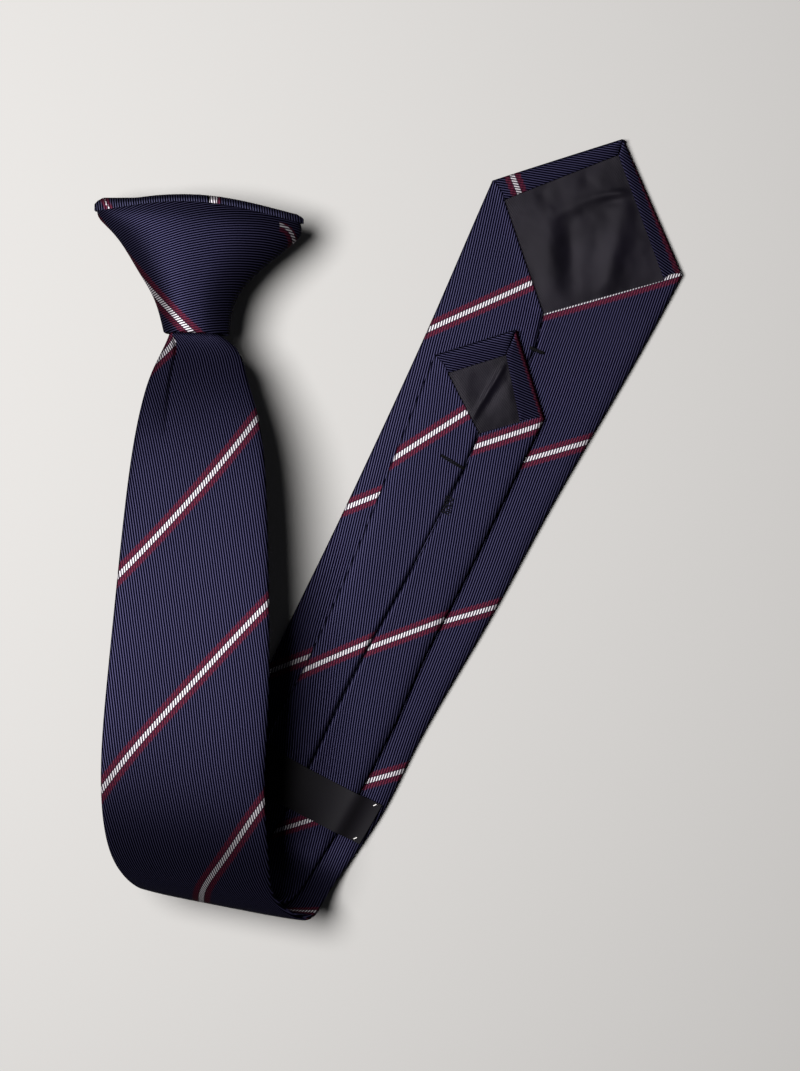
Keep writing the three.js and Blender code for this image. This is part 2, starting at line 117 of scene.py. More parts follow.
def spline(places: Array, values: Array, at: Array) -> Array:
    """Smooth curve through rows of values.

    Args:
        places: Rising places of the rows.
        values: One row of numbers per place.
        at: Places to read the curve at.

    Returns:
        One row per place asked for.
    """
    n = len(places)
    step = np.diff(places)
    matrix = np.eye(n)
    right = np.zeros_like(values)
    for i in range(1, n - 1):
        matrix[i, i - 1] = step[i - 1]
        matrix[i, i] = 2 * (step[i - 1] + step[i])
        matrix[i, i + 1] = step[i]
        slope_after = (values[i + 1] - values[i]) / step[i]
        slope_before = (values[i] - values[i - 1]) / step[i - 1]
        right[i] = 6 * (slope_after - slope_before)
    bend = np.linalg.solve(matrix, right)
    i = np.clip(np.searchsorted(places, at) - 1, 0, n - 2)
    h = step[i][:, None]
    a = (places[i + 1] - at)[:, None] / h
    b = 1 - a
    curve = (a**3 - a) * bend[i] + (b**3 - b) * bend[i + 1]
    return a * values[i] + b * values[i + 1] + curve * h * h / 6


def unit(rows: Array) -> Array:
    """Rows of vectors made one long.

    Args:
        rows: Vectors, the last axis holding x, y, z.

    Returns:
        The same directions, each of length one.
    """
    return rows / np.linalg.norm(rows, axis=-1, keepdims=True)


def run_of(points: Array) -> Array:
    """Length walked from the first point to each one.

    Args:
        points: Points in a row.

    Returns:
        The running length.
    """
    legs = np.linalg.norm(np.diff(points, axis=0), axis=1)
    return np.concatenate([[0.0], np.cumsum(legs)])


class Band:
    """The surface that the whole tie lies in, folded over at the bottom."""

    def __init__(self, rows: Sequence[Sequence[float]]) -> None:
        """Lays the surface through the edge rows.

        Args:
            rows: Left and right edge points of each cross fold, in millimetres.
        """
        table = np.array(rows)
        left, right = table[:, :3], table[:, 3:]
        middle = (left + right) / 2
        places = run_of(middle)
        dense = np.linspace(0, places[-1], 2001)
        self.left = spline(places, left, dense)
        self.right = spline(places, right, dense)
        self.middle = (self.left + self.right) / 2
        neck = places[NECK_ROW]
        self.along = run_of(self.middle)
        self.along -= np.interp(neck, dense, self.along)
        self.left_run = run_of(self.left)
        self.left_run -= np.interp(neck, dense, self.left_run)
        self.right_run = run_of(self.right)
        self.right_run -= np.interp(neck, dense, self.right_run)
        self.width = np.linalg.norm(self.right - self.left, axis=1)
        self.across = unit(self.right - self.left)
        ahead = unit(np.gradient(self.middle, axis=0))
        self.out = unit(np.cross(ahead, self.across))

    def read(self, line: Array, along: Array) -> Array:
        """One of the surface's sampled lines at given lengths.

        Args:
            line: A sampled line of numbers or of vectors.
            along: Lengths down the tie.

        Returns:
            The line's value at each length.
        """
        if line.ndim == 1:
            return np.interp(along, self.along, line)
        return np.stack([np.interp(along, self.along, line[:, k]) for k in range(3)], -1)

    def point(self, along: Array, aside: Array, out: Array) -> Array:
        """Points in space.

        Args:
            along: Lengths down the tie.
            aside: Distances from the middle line.
            out: Heights over the middle surface.

        Returns:
            Points in millimetres.
        """
        along, aside, out = np.broadcast_arrays(along, aside, out)
        base = self.read(self.middle, along)
        shift = aside[..., None] * self.read(self.across, along)
        return base + shift + out[..., None] * self.read(self.out, along)

    def cloth_length(self, along: Array, aside: Array) -> Array:
        """Length down the cloth itself, which differs between the two edges.

        Args:
            along: Lengths down the middle line.
            aside: Distances from the middle line.

        Returns:
            Lengths down the cloth.
        """
        left = self.read(self.left_run, along)
        right = self.read(self.right_run, along)
        share = aside / self.read(self.width, along)
        return (left + right) / 2 + share * (right - left)


@dataclass(frozen=True)
class Stripe:
    """One woven stripe, a line across the cloth that may curve by its bow, in 1/mm."""

    along: float
    aside: float
    lean: float
    bow: float = 0.0

    def distance(self, along: Array, aside: Array) -> Array:
        """Signed distance of places from the stripe's middle line.

        Args:
            along: Lengths down the cloth.
            aside: Distances from the middle line.

        Returns:
            Distances in millimetres.
        """
        turn = math.radians(self.lean)
        side = aside - self.aside
        down = along - self.along
        across = side * math.cos(turn) - down * math.sin(turn)
        run = side * math.sin(turn) + down * math.cos(turn)
        return across + self.bow * run**2


@dataclass(frozen=True)
class Lie:
    """How the weave lies on one face of a band: the ribs' lean and the stripes there.

    fan is how many degrees more the ribs lean at the start, easing off by fan_until.
    """

    rib_lean: float
    stripes: tuple[Stripe, ...]
    fan: float = 0.0
    fan_until: float = 60.0

    def ribs(self, along: Array, aside: Array) -> tuple[Array, Array]:
        """Places counted across and along the ribs.

        Args:
            along: Lengths down the cloth.
            aside: Distances from the middle line.

        Returns:
            Distance across the ribs and distance along them, in millimetres.
        """
        turn = math.radians(self.rib_lean)
        extra = math.radians(self.fan)
        short = np.clip(self.fan_until - along, 0, None)
        local = turn + extra * (short / self.fan_until) ** 2
        drift = extra * short**3 / (3 * self.fan_until**2)
        across = aside * np.cos(local) - along * math.sin(turn) + drift
        return across, along * math.cos(turn) + aside * math.sin(turn)

    def stripe_distance(self, along: Array, aside: Array) -> Array:
        """Distance of each face's corners from the stripe that is nearest to the face.

        Args:
            along: Lengths down the cloth, one row of corners per face.
            aside: Distances from the middle line, in the same rows.

        Returns:
            Signed distances in millimetres.
        """
        if not self.stripes:
            return np.full(np.shape(along), NO_STRIPE)
        each = np.stack([s.distance(along, aside) for s in self.stripes])
        nearest = np.abs(each.mean(axis=-1)).argmin(axis=0)
        return np.take_along_axis(each, nearest[None, :, None], axis=0)[0]


@dataclass(frozen=True)
class Line:
    """A line down the cloth, given by breaks: lengths and distances aside."""

    breaks: tuple[tuple[float, float], ...]

    def at(self, along: Array) -> Array:
        """Distance aside at given lengths.

        Args:
            along: Lengths down the tie.

        Returns:
            Distances from the middle line.
        """
        table = np.array(self.breaks)
        return np.interp(along, table[:, 0], table[:, 1])


@dataclass(frozen=True)
class Pleat:
    """The tuck under the knot: the cloth left of its crease lies lower."""

    crease: Line
    depth: float
    groove: float
    starts: tuple[float, float] = (-4.0, 1.0)
    ends: tuple[float, float] = (14.0, 34.0)
    covers_until: float = 18.0
    groove_side: tuple[float, float] = (-1.2, -0.1)
    step_side: tuple[float, float] = (-0.05, 0.12)

    def fall(self, along: Array, aside: Array, left: Array) -> Array:
        """How much lower the front face lies because of the tuck.

        Args:
            along: Lengths down the tie.
            aside: Distances from the middle line.
            left: Distances aside of the left edge.

        Returns:
            Depths in millimetres.
        """
        crease = self.crease.at(along)
        reach = smooth(*self.starts, along) * (1 - smooth(*self.ends, along))
        slope = np.clip((aside - left) / (crease - left), 0, 1)
        fall = self.depth * slope + self.groove * smooth(*self.groove_side, aside - crease)
        return reach * fall * (1 - smooth(*self.step_side, aside - crease))

    def covers(self, along: Array, aside: Array) -> Array:
        """Where the cloth lies past the crease, with its stripe tucked away.

        Args:
            along: Lengths down the tie.
            aside: Distances from the middle line.

        Returns:
            True for each place that is covered.
        """
        return (along < self.covers_until) & (aside > self.crease.at(along))


@dataclass(frozen=True)
class BandCut:
    """Lines and thicknesses of one folded band, blade or tail."""

    start: float
    tip: tuple[float, float]
    left_corner: tuple[float, float]
    right_corner: tuple[float, float]
    foot: tuple[float, float]
    left_hem: tuple[float, float]
    tip_hem: tuple[float, float]
    right_hem: tuple[float, float]
    seam: tuple[tuple[float, float], ...]
    thick: float
    middle_out: float
    edge_thick: float
    pleat: Optional[Pleat] = None
    sides: Optional[tuple[tuple[float, float, float], ...]] = None
    slit: float = 0.26
    floor_share: float = -0.2 / 2.9

    @property
    def floor(self) -> float:
        """Height over the middle surface of the floor of the open V."""
        return self.floor_share * self.thick

    def left(self, band: Band, along: Array) -> Array:
        """Left outline.

        Args:
            band: The surface the tie lies in.
            along: Lengths down the tie.

        Returns:
            Distances aside of the left edge.
        """
        if self.sides is None:
            side = -band.read(band.width, along) / 2
        else:
            table = np.array(self.sides)
            side = np.interp(along, table[:, 0], table[:, 1])
        point = np.interp(along, *zip(self.left_corner, self.tip))
        return np.where(along < self.left_corner[0], side, point)

    def right(self, band: Band, along: Array) -> Array:
        """Right outline.

        Args:
            band: The surface the tie lies in.
            along: Lengths down the tie.

        Returns:
            Distances aside of the right edge.
        """
        if self.sides is None:
            side = band.read(band.width, along) / 2
        else:
            table = np.array(self.sides)
            side = np.interp(along, table[:, 0], table[:, 2])
        point = np.interp(along, *zip(self.right_corner, self.tip))
        return np.where(along < self.right_corner[0], side, point)

    def inner(self, side: int) -> Line:
        """Inner edge of the flap and then of the hem on one side.

        Args:
            side: -1 for the left, 1 for the right.

        Returns:
            The line from the seam over the foot of the V to the tip.
        """
        hem = self.left_hem if side < 0 else self.right_hem
        seam = tuple((a, v + self.slit * side) for a, v in (*self.seam, self.foot))
        mitre = tuple((a, v + self.slit * side) for a, v in (self.tip_hem, self.tip))
        return Line(seam + (hem,) + mitre)


BLADE = BandCut(
    start=-29.0,
    tip=(494.9, -2.1),
    left_corner=(462.2, -35.7),
    right_corner=(463.4, 35.7),
    foot=(430.2, -0.6),
    left_hem=(458.1, -29.4),
    tip_hem=(489.0, -1.2),
    right_hem=(458.8, 31.1),
    seam=((-40.0, 0.0), (300.0, 2.3), (418.0, 2.3)),
    thick=2.9,
    middle_out=0.0,
    edge_thick=1.7,
    pleat=Pleat(Line(((0.0, -7.7), (40.0, -11.7))), depth=1.1, groove=1.1),
)
TAIL = BandCut(
    start=-25.0,
    tip=(421.2, -6.6),
    left_corner=(401.6, -27.1),
    right_corner=(398.2, 15.5),
    foot=(384.35, -1.65),
    left_hem=(398.0, -20.3),
    tip_hem=(411.7, -5.7),
    right_hem=(393.6, 8.9),
    seam=((-40.0, 0.0), (240.0, -1.4), (307.0, -1.5), (371.5, -0.6)),
    thick=2.6,
    middle_out=-3.2,
    edge_thick=1.6,
    sides=(
        (-26.0, -5.8, 5.8),
        (-4.0, -6.4, 6.4),
        (12.0, -9.5, 9.5),
        (60.0, -13.5, 14.0),
        (120.0, -16.0, 16.5),
        (200.0, -17.8, 17.4),
        (260.0, -18.3, 17.8),
        (287.0, -17.3, 18.5),
        (312.0, -18.8, 16.5),
        (360.0, -23.0, 16.2),
        (398.3, -26.7, 15.6),
        (401.6, -27.1, 15.5),
    ),
)

FRONT_STRIPES = (
    Stripe(3.2, -10.5, -38.0),
    Stripe(54.7, -1.1, -39.4, 0.00103),
    Stripe(119.2, -2.05, -40.0, -0.0005),
    Stripe(167.9, 15.0, -36.9),
    Stripe(228.0, 12.0, -38.0),
    Stripe(309.0, 0.0, -42.0),
    Stripe(372.0, 0.0, -43.0),
    Stripe(436.0, 0.0, -43.0),
)
BLADE_LIES = {
    Part.FRONT: Lie(10.5, FRONT_STRIPES, fan=9.0, fan_until=75.0),
    Part.LEFT_FLAP: Lie(
        -13.3,
        (
            Stripe(426.4, -20.4, 40.0),
            Stripe(350.0, -26.1, 43.0),
            Stripe(289.8, -22.3, 44.2),
            Stripe(235.6, -2.0, 40.0),
            Stripe(150.0, -24.0, 39.0),
            Stripe(84.0, -22.0, 37.0),
        ),
    ),
    Part.RIGHT_FLAP: Lie(
        -7.0,
        (
            Stripe(432.65, -0.66, 49.5, 0.00025),
            Stripe(392.3, 24.7, 48.2),
            Stripe(329.9, 23.7, 48.5),
            Stripe(268.5, 23.7, 50.0),
            Stripe(207.0, 22.0, 46.0),
            Stripe(147.0, 22.0, 42.0),
            Stripe(85.0, 20.0, 40.0),
        ),
    ),
    Part.LEFT_HEM: Lie(74.7, (Stripe(468.5, -28.3, -46.8),)),
    Part.RIGHT_HEM: Lie(100.0, (Stripe(481.7, 17.8, -46.0),)),
    Part.INSIDE: Lie(0.0, ()),
}
TAIL_LIES = {
    Part.FRONT: Lie(10.5, (Stripe(60.0, 0.0, -38.0), Stripe(130.0, 0.0, -38.0))),
    Part.LEFT_FLAP: Lie(
        -19.8,
        (Stripe(380.5, -15.2, 31.0), Stripe(298.8, -9.4, 40.6), Stripe(214.3, -12.1, 39.6)),
    ),
    Part.RIGHT_FLAP: Lie(
        -16.6,
        (Stripe(389.4, 7.0, 45.7), Stripe(315.1, 7.7, 43.0), Stripe(239.5, 2.4, 44.6)),
    ),
    Part.LEFT_HEM: Lie(78.0, ()),
    Part.RIGHT_HEM: Lie(88.0, (Stripe(412.75, 5.5, -43.4),)),
    Part.INSIDE: Lie(0.0, ()),
}


@dataclass
class Column:
    """One line down a band's skin, the face that starts there and its hem past a corner."""

    aside: Array
    out: Array
    part: Part
    past: Optional[Part] = None
    past_from: float = 0.0


class ClothMesh:
    """Collects a skin of quads with its weave maps, then makes the object."""

    def __init__(self, name: str) -> None:
        """Starts an empty skin.

        Args:
            name: The piece's name.
        """
        self.name = name
        self.points: list[Array] = []
        self.faces: list[Array] = []
        self.ribs: list[Array] = []
        self.stripes: list[Array] = []
        self.count = 0

    def add_points(self, points: Array) -> int:
        """Adds points.

        Args:
            points: Rows of x, y, z in millimetres.

        Returns:
            Number of the first one.
        """
        first = self.count
        self.points.append(points.reshape(-1, 3))
        self.count += len(self.points[-1])
        return first

    def add_faces(self, faces: Array, ribs: Array, stripes: Array) -> None:
        """Adds quads with the weave at their corners.

        Args:
            faces: Point numbers, four per face.
            ribs: Distance across and along the ribs at each corner.
            stripes: Distance from the stripe's middle at each corner.
        """
        self.faces.append(faces)
        self.ribs.append(ribs)
        self.stripes.append(stripes)

    def make(self, material: bpy.types.Material) -> bpy.types.Object:
        """Makes the mesh object.

        Args:
            material: What it is made of.

        Returns:
            The new object, smooth shaded.
        """
        points = np.concatenate(self.points) * MM
        faces = np.concatenate(self.faces)
        mesh = bpy.data.meshes.new(self.name)
        mesh.from_pydata(points.tolist(), [], faces.tolist())
        rib_map = mesh.uv_layers.new(name="ribs")
        rib_map.data.foreach_set("uv", np.concatenate(self.ribs).reshape(-1).astype(np.float32))
        stripe_map = mesh.uv_layers.new(name="stripes")
        distance = np.concatenate(self.stripes).reshape(-1)
        pairs = np.stack([distance, np.zeros_like(distance)], -1)
        stripe_map.data.foreach_set("uv", pairs.reshape(-1).astype(np.float32))
        mesh.materials.append(material)
        obj = bpy.data.objects.new(self.name, mesh)
        bpy.context.scene.collection.objects.link(obj)
        clean_skin(obj)
        return obj


def only(obj: bpy.types.Object) -> None:
    """Selects one object alone.

    Args:
        obj: The object to work on.
    """
    bpy.ops.object.select_all(action="DESELECT")
    obj.select_set(True)
    bpy.context.view_layer.objects.active = obj


# Points closer than this, in metres, are one; edges sharper than this stay sharp.
SAME_POINT = 2e-6
SHARP_DEGREES = 50


def clean_skin(obj: bpy.types.Object) -> None:
    """Joins points that coincide, turns the faces outward and shades them smooth.

    Args:
        obj: The piece.
    """
    only(obj)
    bpy.ops.object.mode_set(mode="EDIT")
    bpy.ops.mesh.select_all(action="SELECT")
    bpy.ops.mesh.remove_doubles(threshold=SAME_POINT)
    bpy.ops.mesh.normals_make_consistent(inside=False)
    bpy.ops.object.mode_set(mode="OBJECT")
    bpy.ops.object.shade_smooth_by_angle(angle=math.radians(SHARP_DEGREES))
    bpy.ops.object.select_all(action="DESELECT")


# Columns over a band's front, in shares of its width. They stand closer about the
# place of the tuck's crease, which is then moved to where the crease really runs.
CREASE_AT = 0.25
CREASE_RANGE = (0.06, 0.5)
FRONT_PLACES = (
    *np.linspace(0, 0.19, 8),
    *(0.21, 0.225, 0.237, 0.244, 0.249, 0.2525, 0.256, 0.262),
    *np.linspace(0.28, 1, 24),
)

# Columns over a flap, in shares from its edge in: closer at the rolled free edge.
FLAP_PLACES = (*np.linspace(0, 0.9, 9), 0.93, 0.955, 0.975, 0.985, 0.994, 1.0)

# The folded lip under a free edge: shares of its depth and of its overhang.
LIP_PLACES = ((0.35, -0.1), (0.75, -0.1), (1.0, 0.1))

# How much of a free edge's roll is left on the hems, which are pressed flat.
PRESSED = 0.15


@dataclass
class FoldedBand:
    """A blade or tail: cloth folded round its interlining, open in a V at the tip."""

    name: str
    band: Band
    cut: BandCut
    lies: dict[Part, Lie]
    lip_thick: float = 0.55
    lip_overhang: float = 1.2
    hem_step: float = 0.3
    edge_roll: float = 1.2
    edge_drop: float = 0.7
    edge_lift: float = 0.12
    valley: float = 0.2
    valley_width: float = 2.2
    fullness: float = 5.0
    ring_step: float = 1.0
    corner_step: float = 0.35

    def __post_init__(self) -> None:
        """Reads the outline at every ring."""
        self.along = self._stations()
        self.left = self.cut.left(self.band, self.along)
        self.right = self.cut.right(self.band, self.along)

    def _stations(self) -> Array:
        """Lengths at which the skin gets a ring of points.

        Returns:
            Rising lengths from the start to just before the tip.
        """
        cut = self.cut
        end = cut.tip[0] - self.corner_step
        marks = [cut.left_corner[0], cut.right_corner[0], cut.foot[0]]
        marks += [cut.left_hem[0], cut.right_hem[0], cut.tip_hem[0]]
        even = np.arange(cut.start, end, self.ring_step)
        first, last = min(marks[:2] + marks[3:5]) - 0.5, max(marks[:2]) + 0.5
        fine = np.arange(first, last, self.corner_step)
        return np.unique(np.round(np.concatenate([even, fine, marks, [end]]), 3))

    def _body(self, aside: Array, side: int) -> Array:
        """Height of the front or back face over the middle surface.

        Args:
            aside: Distances aside, at every station.
            side: 1 for the front and -1 for the back.

        Returns:
            Heights, thickest in the middle and thin at the edges.
        """
        middle = (self.left + self.right) / 2
        half = np.maximum((self.right - self.left) / 2, 0.5)
        k = np.clip(np.abs(aside - middle) / half, 0, 1)
        low = self.cut.edge_thick / 2
        full = self.cut.thick / 2
        height = low + (full - low) * (1 - k**self.fullness)
        if side > 0 and self.cut.pleat is not None:
            height = height - self.cut.pleat.fall(self.along, aside, self.left)
        return side * height

    def _front(self) -> list[Column]:
        """Columns over the front, from the left edge to the right one.

        Returns:
            The columns.
        """
        radius = self.cut.edge_thick / 2
        a, b = self._sides(radius)
        fold = np.full_like(a, CREASE_AT)
        if self.cut.pleat is not None:
            crease = self.cut.pleat.crease.at(self.along)
            fold = np.clip((crease - a) / (b - a), *CREASE_RANGE)
        columns = []
        for place in FRONT_PLACES:
            if place < CREASE_AT:
                share = place / CREASE_AT * fold
            else:
                share = fold + (place - CREASE_AT) / (1 - CREASE_AT) * (1 - fold)
            aside = a + (b - a) * share
            columns.append(Column(aside, self._body(aside, 1), Part.FRONT))
        for degrees in (60, 30, 0, -30, -60):
            turn = math.radians(degrees)
            out = np.full_like(b, radius * math.sin(turn))
            column = Column(b + radius * math.cos(turn), out, Part.FRONT)
            if degrees <= 0:
                column.part, column.past = Part.RIGHT_FLAP, Part.RIGHT_HEM
                column.past_from = self.cut.right_corner[0]
            columns.append(column)
        return columns

    def _sides(self, radius: float) -> tuple[Array, Array]:
        """Where the rounding of the two edges starts.

        Args:
            radius: Radius of the rounding.

        Returns:
            Left and right distances aside.
        """
        a = self.left + radius
        b = np.maximum(self.right - radius, a + 0.05)
        return a, b

    def _flap(self, side: int) -> list[Column]:
        """Columns over one half of the back, from the edge in to the open V.

        Args:
            side: -1 for the left half and 1 for the right one.

        Returns:
            The columns, edge first.
        """
        cut = self.cut
        radius = cut.edge_thick / 2
        a, b = self._sides(radius)
        edge = b if side > 0 else a
        corner = cut.right_corner if side > 0 else cut.left_corner
        hem = cut.right_hem if side > 0 else cut.left_hem
        flap = Part.RIGHT_FLAP if side > 0 else Part.LEFT_FLAP
        turned = Part.RIGHT_HEM if side > 0 else Part.LEFT_HEM
        inner = cut.inner(side).at(self.along)
        inner = np.minimum(inner, edge) if side > 0 else np.maximum(inner, edge)
        toward = np.interp(self.along, [hem[0], corner[0]], [0.0, 1.0])
        split = inner + (edge - inner) * toward
        columns = []
        for share in FLAP_PLACES:
            aside = edge + (split - edge) * share
            out = self._back(aside, split, side, 0.0)
            columns.append(Column(aside, out, flap, turned, corner[0]))
        columns[-1].part = turned
        step = self.hem_step * smooth(0.0, 1.5, np.abs(split - inner))
        for share in np.linspace(0, 1, 7):
            aside = split + (inner - split) * share
            columns.append(Column(aside, self._back(aside, inner, side, step), turned))
        last = columns[-1]
        width = np.abs(edge - inner)
        under = np.minimum(self.lip_overhang, 0.5 * width) * side
        thick = np.minimum(self.lip_thick, np.abs(last.out - cut.floor) * 0.8)
        for deep, share in LIP_PLACES:
            columns.append(Column(inner + under * share, last.out + thick * deep, turned))
        columns.append(Column(inner + under, last.out + thick, Part.INSIDE))
        floor = np.maximum(last.out + thick, cut.floor)
        columns.append(Column(inner + under, floor, Part.INSIDE))
        return columns

    def _back(self, aside: Array, edge: Array, side: int, step: Union[float, Array]) -> Array:
        """Height of the back skin, lifted a little along its free edge.

        Args:
            aside: Distances aside, at every station.
            edge: Distances aside of the free edge.
            side: -1 for the left half and 1 for the right one.
            step: How much lower a hem lies than the flap over it.

        Returns:
            Heights over the middle surface.
        """
        gap = np.abs(aside - edge)
        lift = self.edge_lift * np.exp(-(gap**2) / 6.0)
        over = self.edge_lift * np.exp(-gap / 3.0) if side > 0 else 0.0
        roll = np.clip(1 - gap / self.edge_roll, 0, 1)
        drop = self.edge_drop * (1 - np.sqrt(1 - 0.96 * roll**2))
        drop = drop + self.valley * np.exp(-gap / self.valley_width)
        drop = np.where(self.along < self.cut.foot[0], drop, PRESSED * drop)
        return self._body(aside, -1) - lift - over + step + drop

    def build(self, material: bpy.types.Material) -> bpy.types.Object:
        """Makes the piece.

        Args:
            material: The ribbed cloth.

        Returns:
            The new object.
        """
        columns = self._front()
        right = self._flap(1)
        left = list(reversed(self._flap(-1)))
        columns += right
        from_edge, to_edge = right[-1], left[0]
        for share in (0.2, 0.4, 0.6, 0.8):
            aside = from_edge.aside + (to_edge.aside - from_edge.aside) * share
            out = from_edge.out + (to_edge.out - from_edge.out) * share
            columns.append(Column(aside, out, Part.INSIDE))
        for here, after in zip(left, left[1:] + [None]):
            here.part = after.part if after is not None else Part.LEFT_FLAP
            here.past = after.past if after is not None else Part.LEFT_HEM
            here.past_from = self.cut.left_corner[0]
        columns += left
        radius = self.cut.edge_thick / 2
        a, _ = self._sides(radius)
        for degrees in (240, 210, 180, 150, 120):
            turn = math.radians(degrees)
            out = np.full_like(a, radius * math.sin(turn))
            column = Column(a + radius * math.cos(turn), out, Part.FRONT)
            if degrees > 180:
                column.part, column.past = Part.LEFT_FLAP, Part.LEFT_HEM
                column.past_from = self.cut.left_corner[0]
            columns.append(column)
        return self._skin(columns, material)

    def _spans(self, column: Column) -> list[tuple[Part, Array]]:
        """Rows of one column's faces, by the face of the band that they belong to.

        Args:
            column: The column.

        Returns:
            Each part and the numbers of its rows.
        """
        rows = np.arange(len(self.along) - 1)
        if column.past is None:
            return [(column.part, rows)]
        late = self.along[rows] >= column.past_from - 0.001
        return [(column.part, rows[~late]), (column.past, rows[late])]

    def _skin(self, columns: list[Column], material: bpy.types.Material) -> bpy.types.Object:
        """Spans the faces between the columns.

        Args:
            columns: The columns once round the band.
            material: The ribbed cloth.

        Returns:
            The new object.
        """
        aside = np.stack([c.aside for c in columns], 1)
        out = np.stack([c.out for c in columns], 1)
        along = np.repeat(self.along[:, None], len(columns), 1)
        mesh = ClothMesh(self.name)
        mesh.add_points(self.band.point(along, aside, out + self.cut.middle_out))
        cloth = self.band.cloth_length(along, aside)
        rows, n = aside.shape
        for j, column in enumerate(columns):
            k = (j + 1) % n
            for part, i in self._spans(column):
                corners = [(i, j), (i, k), (i + 1, k), (i + 1, j)]
                faces = np.stack([a * n + b for a, b in corners], 1)
                s = np.stack([cloth[a, b] for a, b in corners], 1)
                v = np.stack([aside[a, b] for a, b in corners], 1)
                lie = self.lies[part]
                stripes = lie.stripe_distance(s, v)
                if self.cut.pleat is not None and part is Part.FRONT:
                    covered = self.cut.pleat.covers(along[i, j], v.mean(axis=-1))
                    stripes = np.where(covered[:, None], NO_STRIPE, stripes)
                mesh.add_faces(faces, np.stack(lie.ribs(s, v), -1), stripes)
        self._cap(mesh, n, 0, aside, cloth)
        self._cap(mesh, n, rows - 1, aside, cloth)
        return mesh.make(material)

    def _cap(self, mesh: ClothMesh, n: int, row: int, aside: Array, cloth: Array) -> None:
        """Closes one end with a strip of quads between its front and back.

        Args:
            mesh: The skin being made.
            n: Points in a ring.
            row: Number of the ring to close.
            aside: Distances aside of all points.
            cloth: Cloth lengths of all points.
        """
        half = n // 2
        front = np.arange(0, half - 1)
        back = (n - 1 - front) % n
        corners = [front, front + 1, back - 1, back]
        faces = np.stack([row * n + c for c in corners], 1)
        s = np.stack([cloth[row, c] for c in corners], 1)
        v = np.stack([aside[row, c] for c in corners], 1)
        lie = self.lies[Part.FRONT]
        mesh.add_faces(faces, np.stack(lie.ribs(s, v), -1), lie.stripe_distance(s, v))


@dataclass(frozen=True)
class Crease:
    """One soft ridge or valley in a lining, its width across and its reach down it."""

    along: float
    aside: float
    lean: float
    height: float
    width: float
    reach: float

    def lift(self, along: Array, aside: Array) -> Array:
        """Height that the crease adds.

        Args:
            along: Lengths down the tie.
            aside: Distances from the middle line.

        Returns:
            Heights in millimetres.
        """
        turn = math.radians(self.lean)
        a, v = along - self.along, aside - self.aside
        across = v * math.cos(turn) - a * math.sin(turn)
        down = v * math.sin(turn) + a * math.cos(turn)
        return self.height * np.exp(-((across / self.width) ** 2) - (down / self.reach) ** 2)


@dataclass(frozen=True)
class TipLining:
    """Satin lining in the open V of a tip, its edges tucked under flaps and hems."""

    name: str
    band: Band
    cut: BandCut
    creases: tuple[Crease, ...]
    tuck: float = 1.215
    thick: float = 0.3
    sunk: float = 0.38
    dish: float = 0.25
    points: int = 61

    def build(self, material: bpy.types.Material) -> bpy.types.Object:
        """Makes the lining.

        Args:
            material: The satin.

        Returns:
            The new object.
        """
        cut = self.cut
        corners = np.array([cut.foot, cut.left_hem, cut.tip_hem, cut.right_hem])
        middle = corners.mean(axis=0)
        reach = np.linalg.norm(corners - middle, axis=1, keepdims=True)
        corners = middle + (corners - middle) * (1 + self.tuck / reach)
        n = self.points
        u, w = np.meshgrid(np.linspace(0, 1, n), np.linspace(0, 1, n), indexing="ij")
        weights = [(1 - u) * (1 - w), u * (1 - w), u * w, (1 - u) * w]
        place = sum(k[..., None] * corners[i] for i, k in enumerate(weights))
        along, aside = place[..., 0], place[..., 1]
        inside = 16 * u * (1 - u) * w * (1 - w)
        lift = sum(c.lift(along, aside) for c in self.creases)
        level = cut.floor - self.sunk - self.dish * smooth(0, 0.5, inside)
        top = level - lift * smooth(0, 0.35, inside)
        mesh = ClothMesh(self.name)
        for out in (top, top + self.thick):
            mesh.add_points(self.band.point(along, aside, out + cut.middle_out))
        i, j = (g.reshape(-1) for g in np.meshgrid(np.arange(n - 1), np.arange(n - 1), indexing="ij"))
        quad = np.stack([i * n + j, i * n + j + 1, (i + 1) * n + j + 1, (i + 1) * n + j], 1)
        rim = np.concatenate([
            np.arange(n),
            np.arange(2 * n - 1, n * n, n),
            np.arange(n * n - 2, n * n - n - 1, -1),
            np.arange(n * n - 2 * n, 0, -n),
        ])
        after = np.roll(rim, -1)
        side = np.stack([rim, after, after + n * n, rim + n * n], 1)
        flat = np.stack([along.reshape(-1), aside.reshape(-1)], -1)
        flat = np.concatenate([flat, flat])
        for faces in (quad, quad[:, ::-1] + n * n, side):
            mesh.add_faces(faces, flat[faces], np.full(faces.shape, NO_STRIPE))
        return mesh.make(material)


BLADE_CREASES = (
    Crease(447.5, -6.5, -31.0, 0.85, 4.4, 15.0),
    Crease(460.8, 11.5, -12.0, 0.95, 3.8, 15.0),
    Crease(453.0, -1.5, -28.0, -0.6, 3.0, 11.0),
    Crease(466.5, -7.5, 41.0, 0.5, 2.6, 9.0),
    Crease(477.0, 3.5, 54.0, 0.6, 1.3, 7.0),
    Crease(475.0, 4.5, 54.0, -0.3, 1.6, 6.0),
    Crease(466.5, -19.0, -40.0, -0.35, 2.0, 3.5),
    Crease(478.0, -8.0, -40.0, -0.35, 2.0, 3.5),
)
TAIL_CREASES = (
    Crease(401.0, -5.1, 4.0, 0.65, 1.0, 12.0),
    Crease(398.0, -2.7, 8.0, -0.4, 1.6, 8.0),
    Crease(396.5, -13.5, -35.0, 0.15, 4.0, 8.0),
)


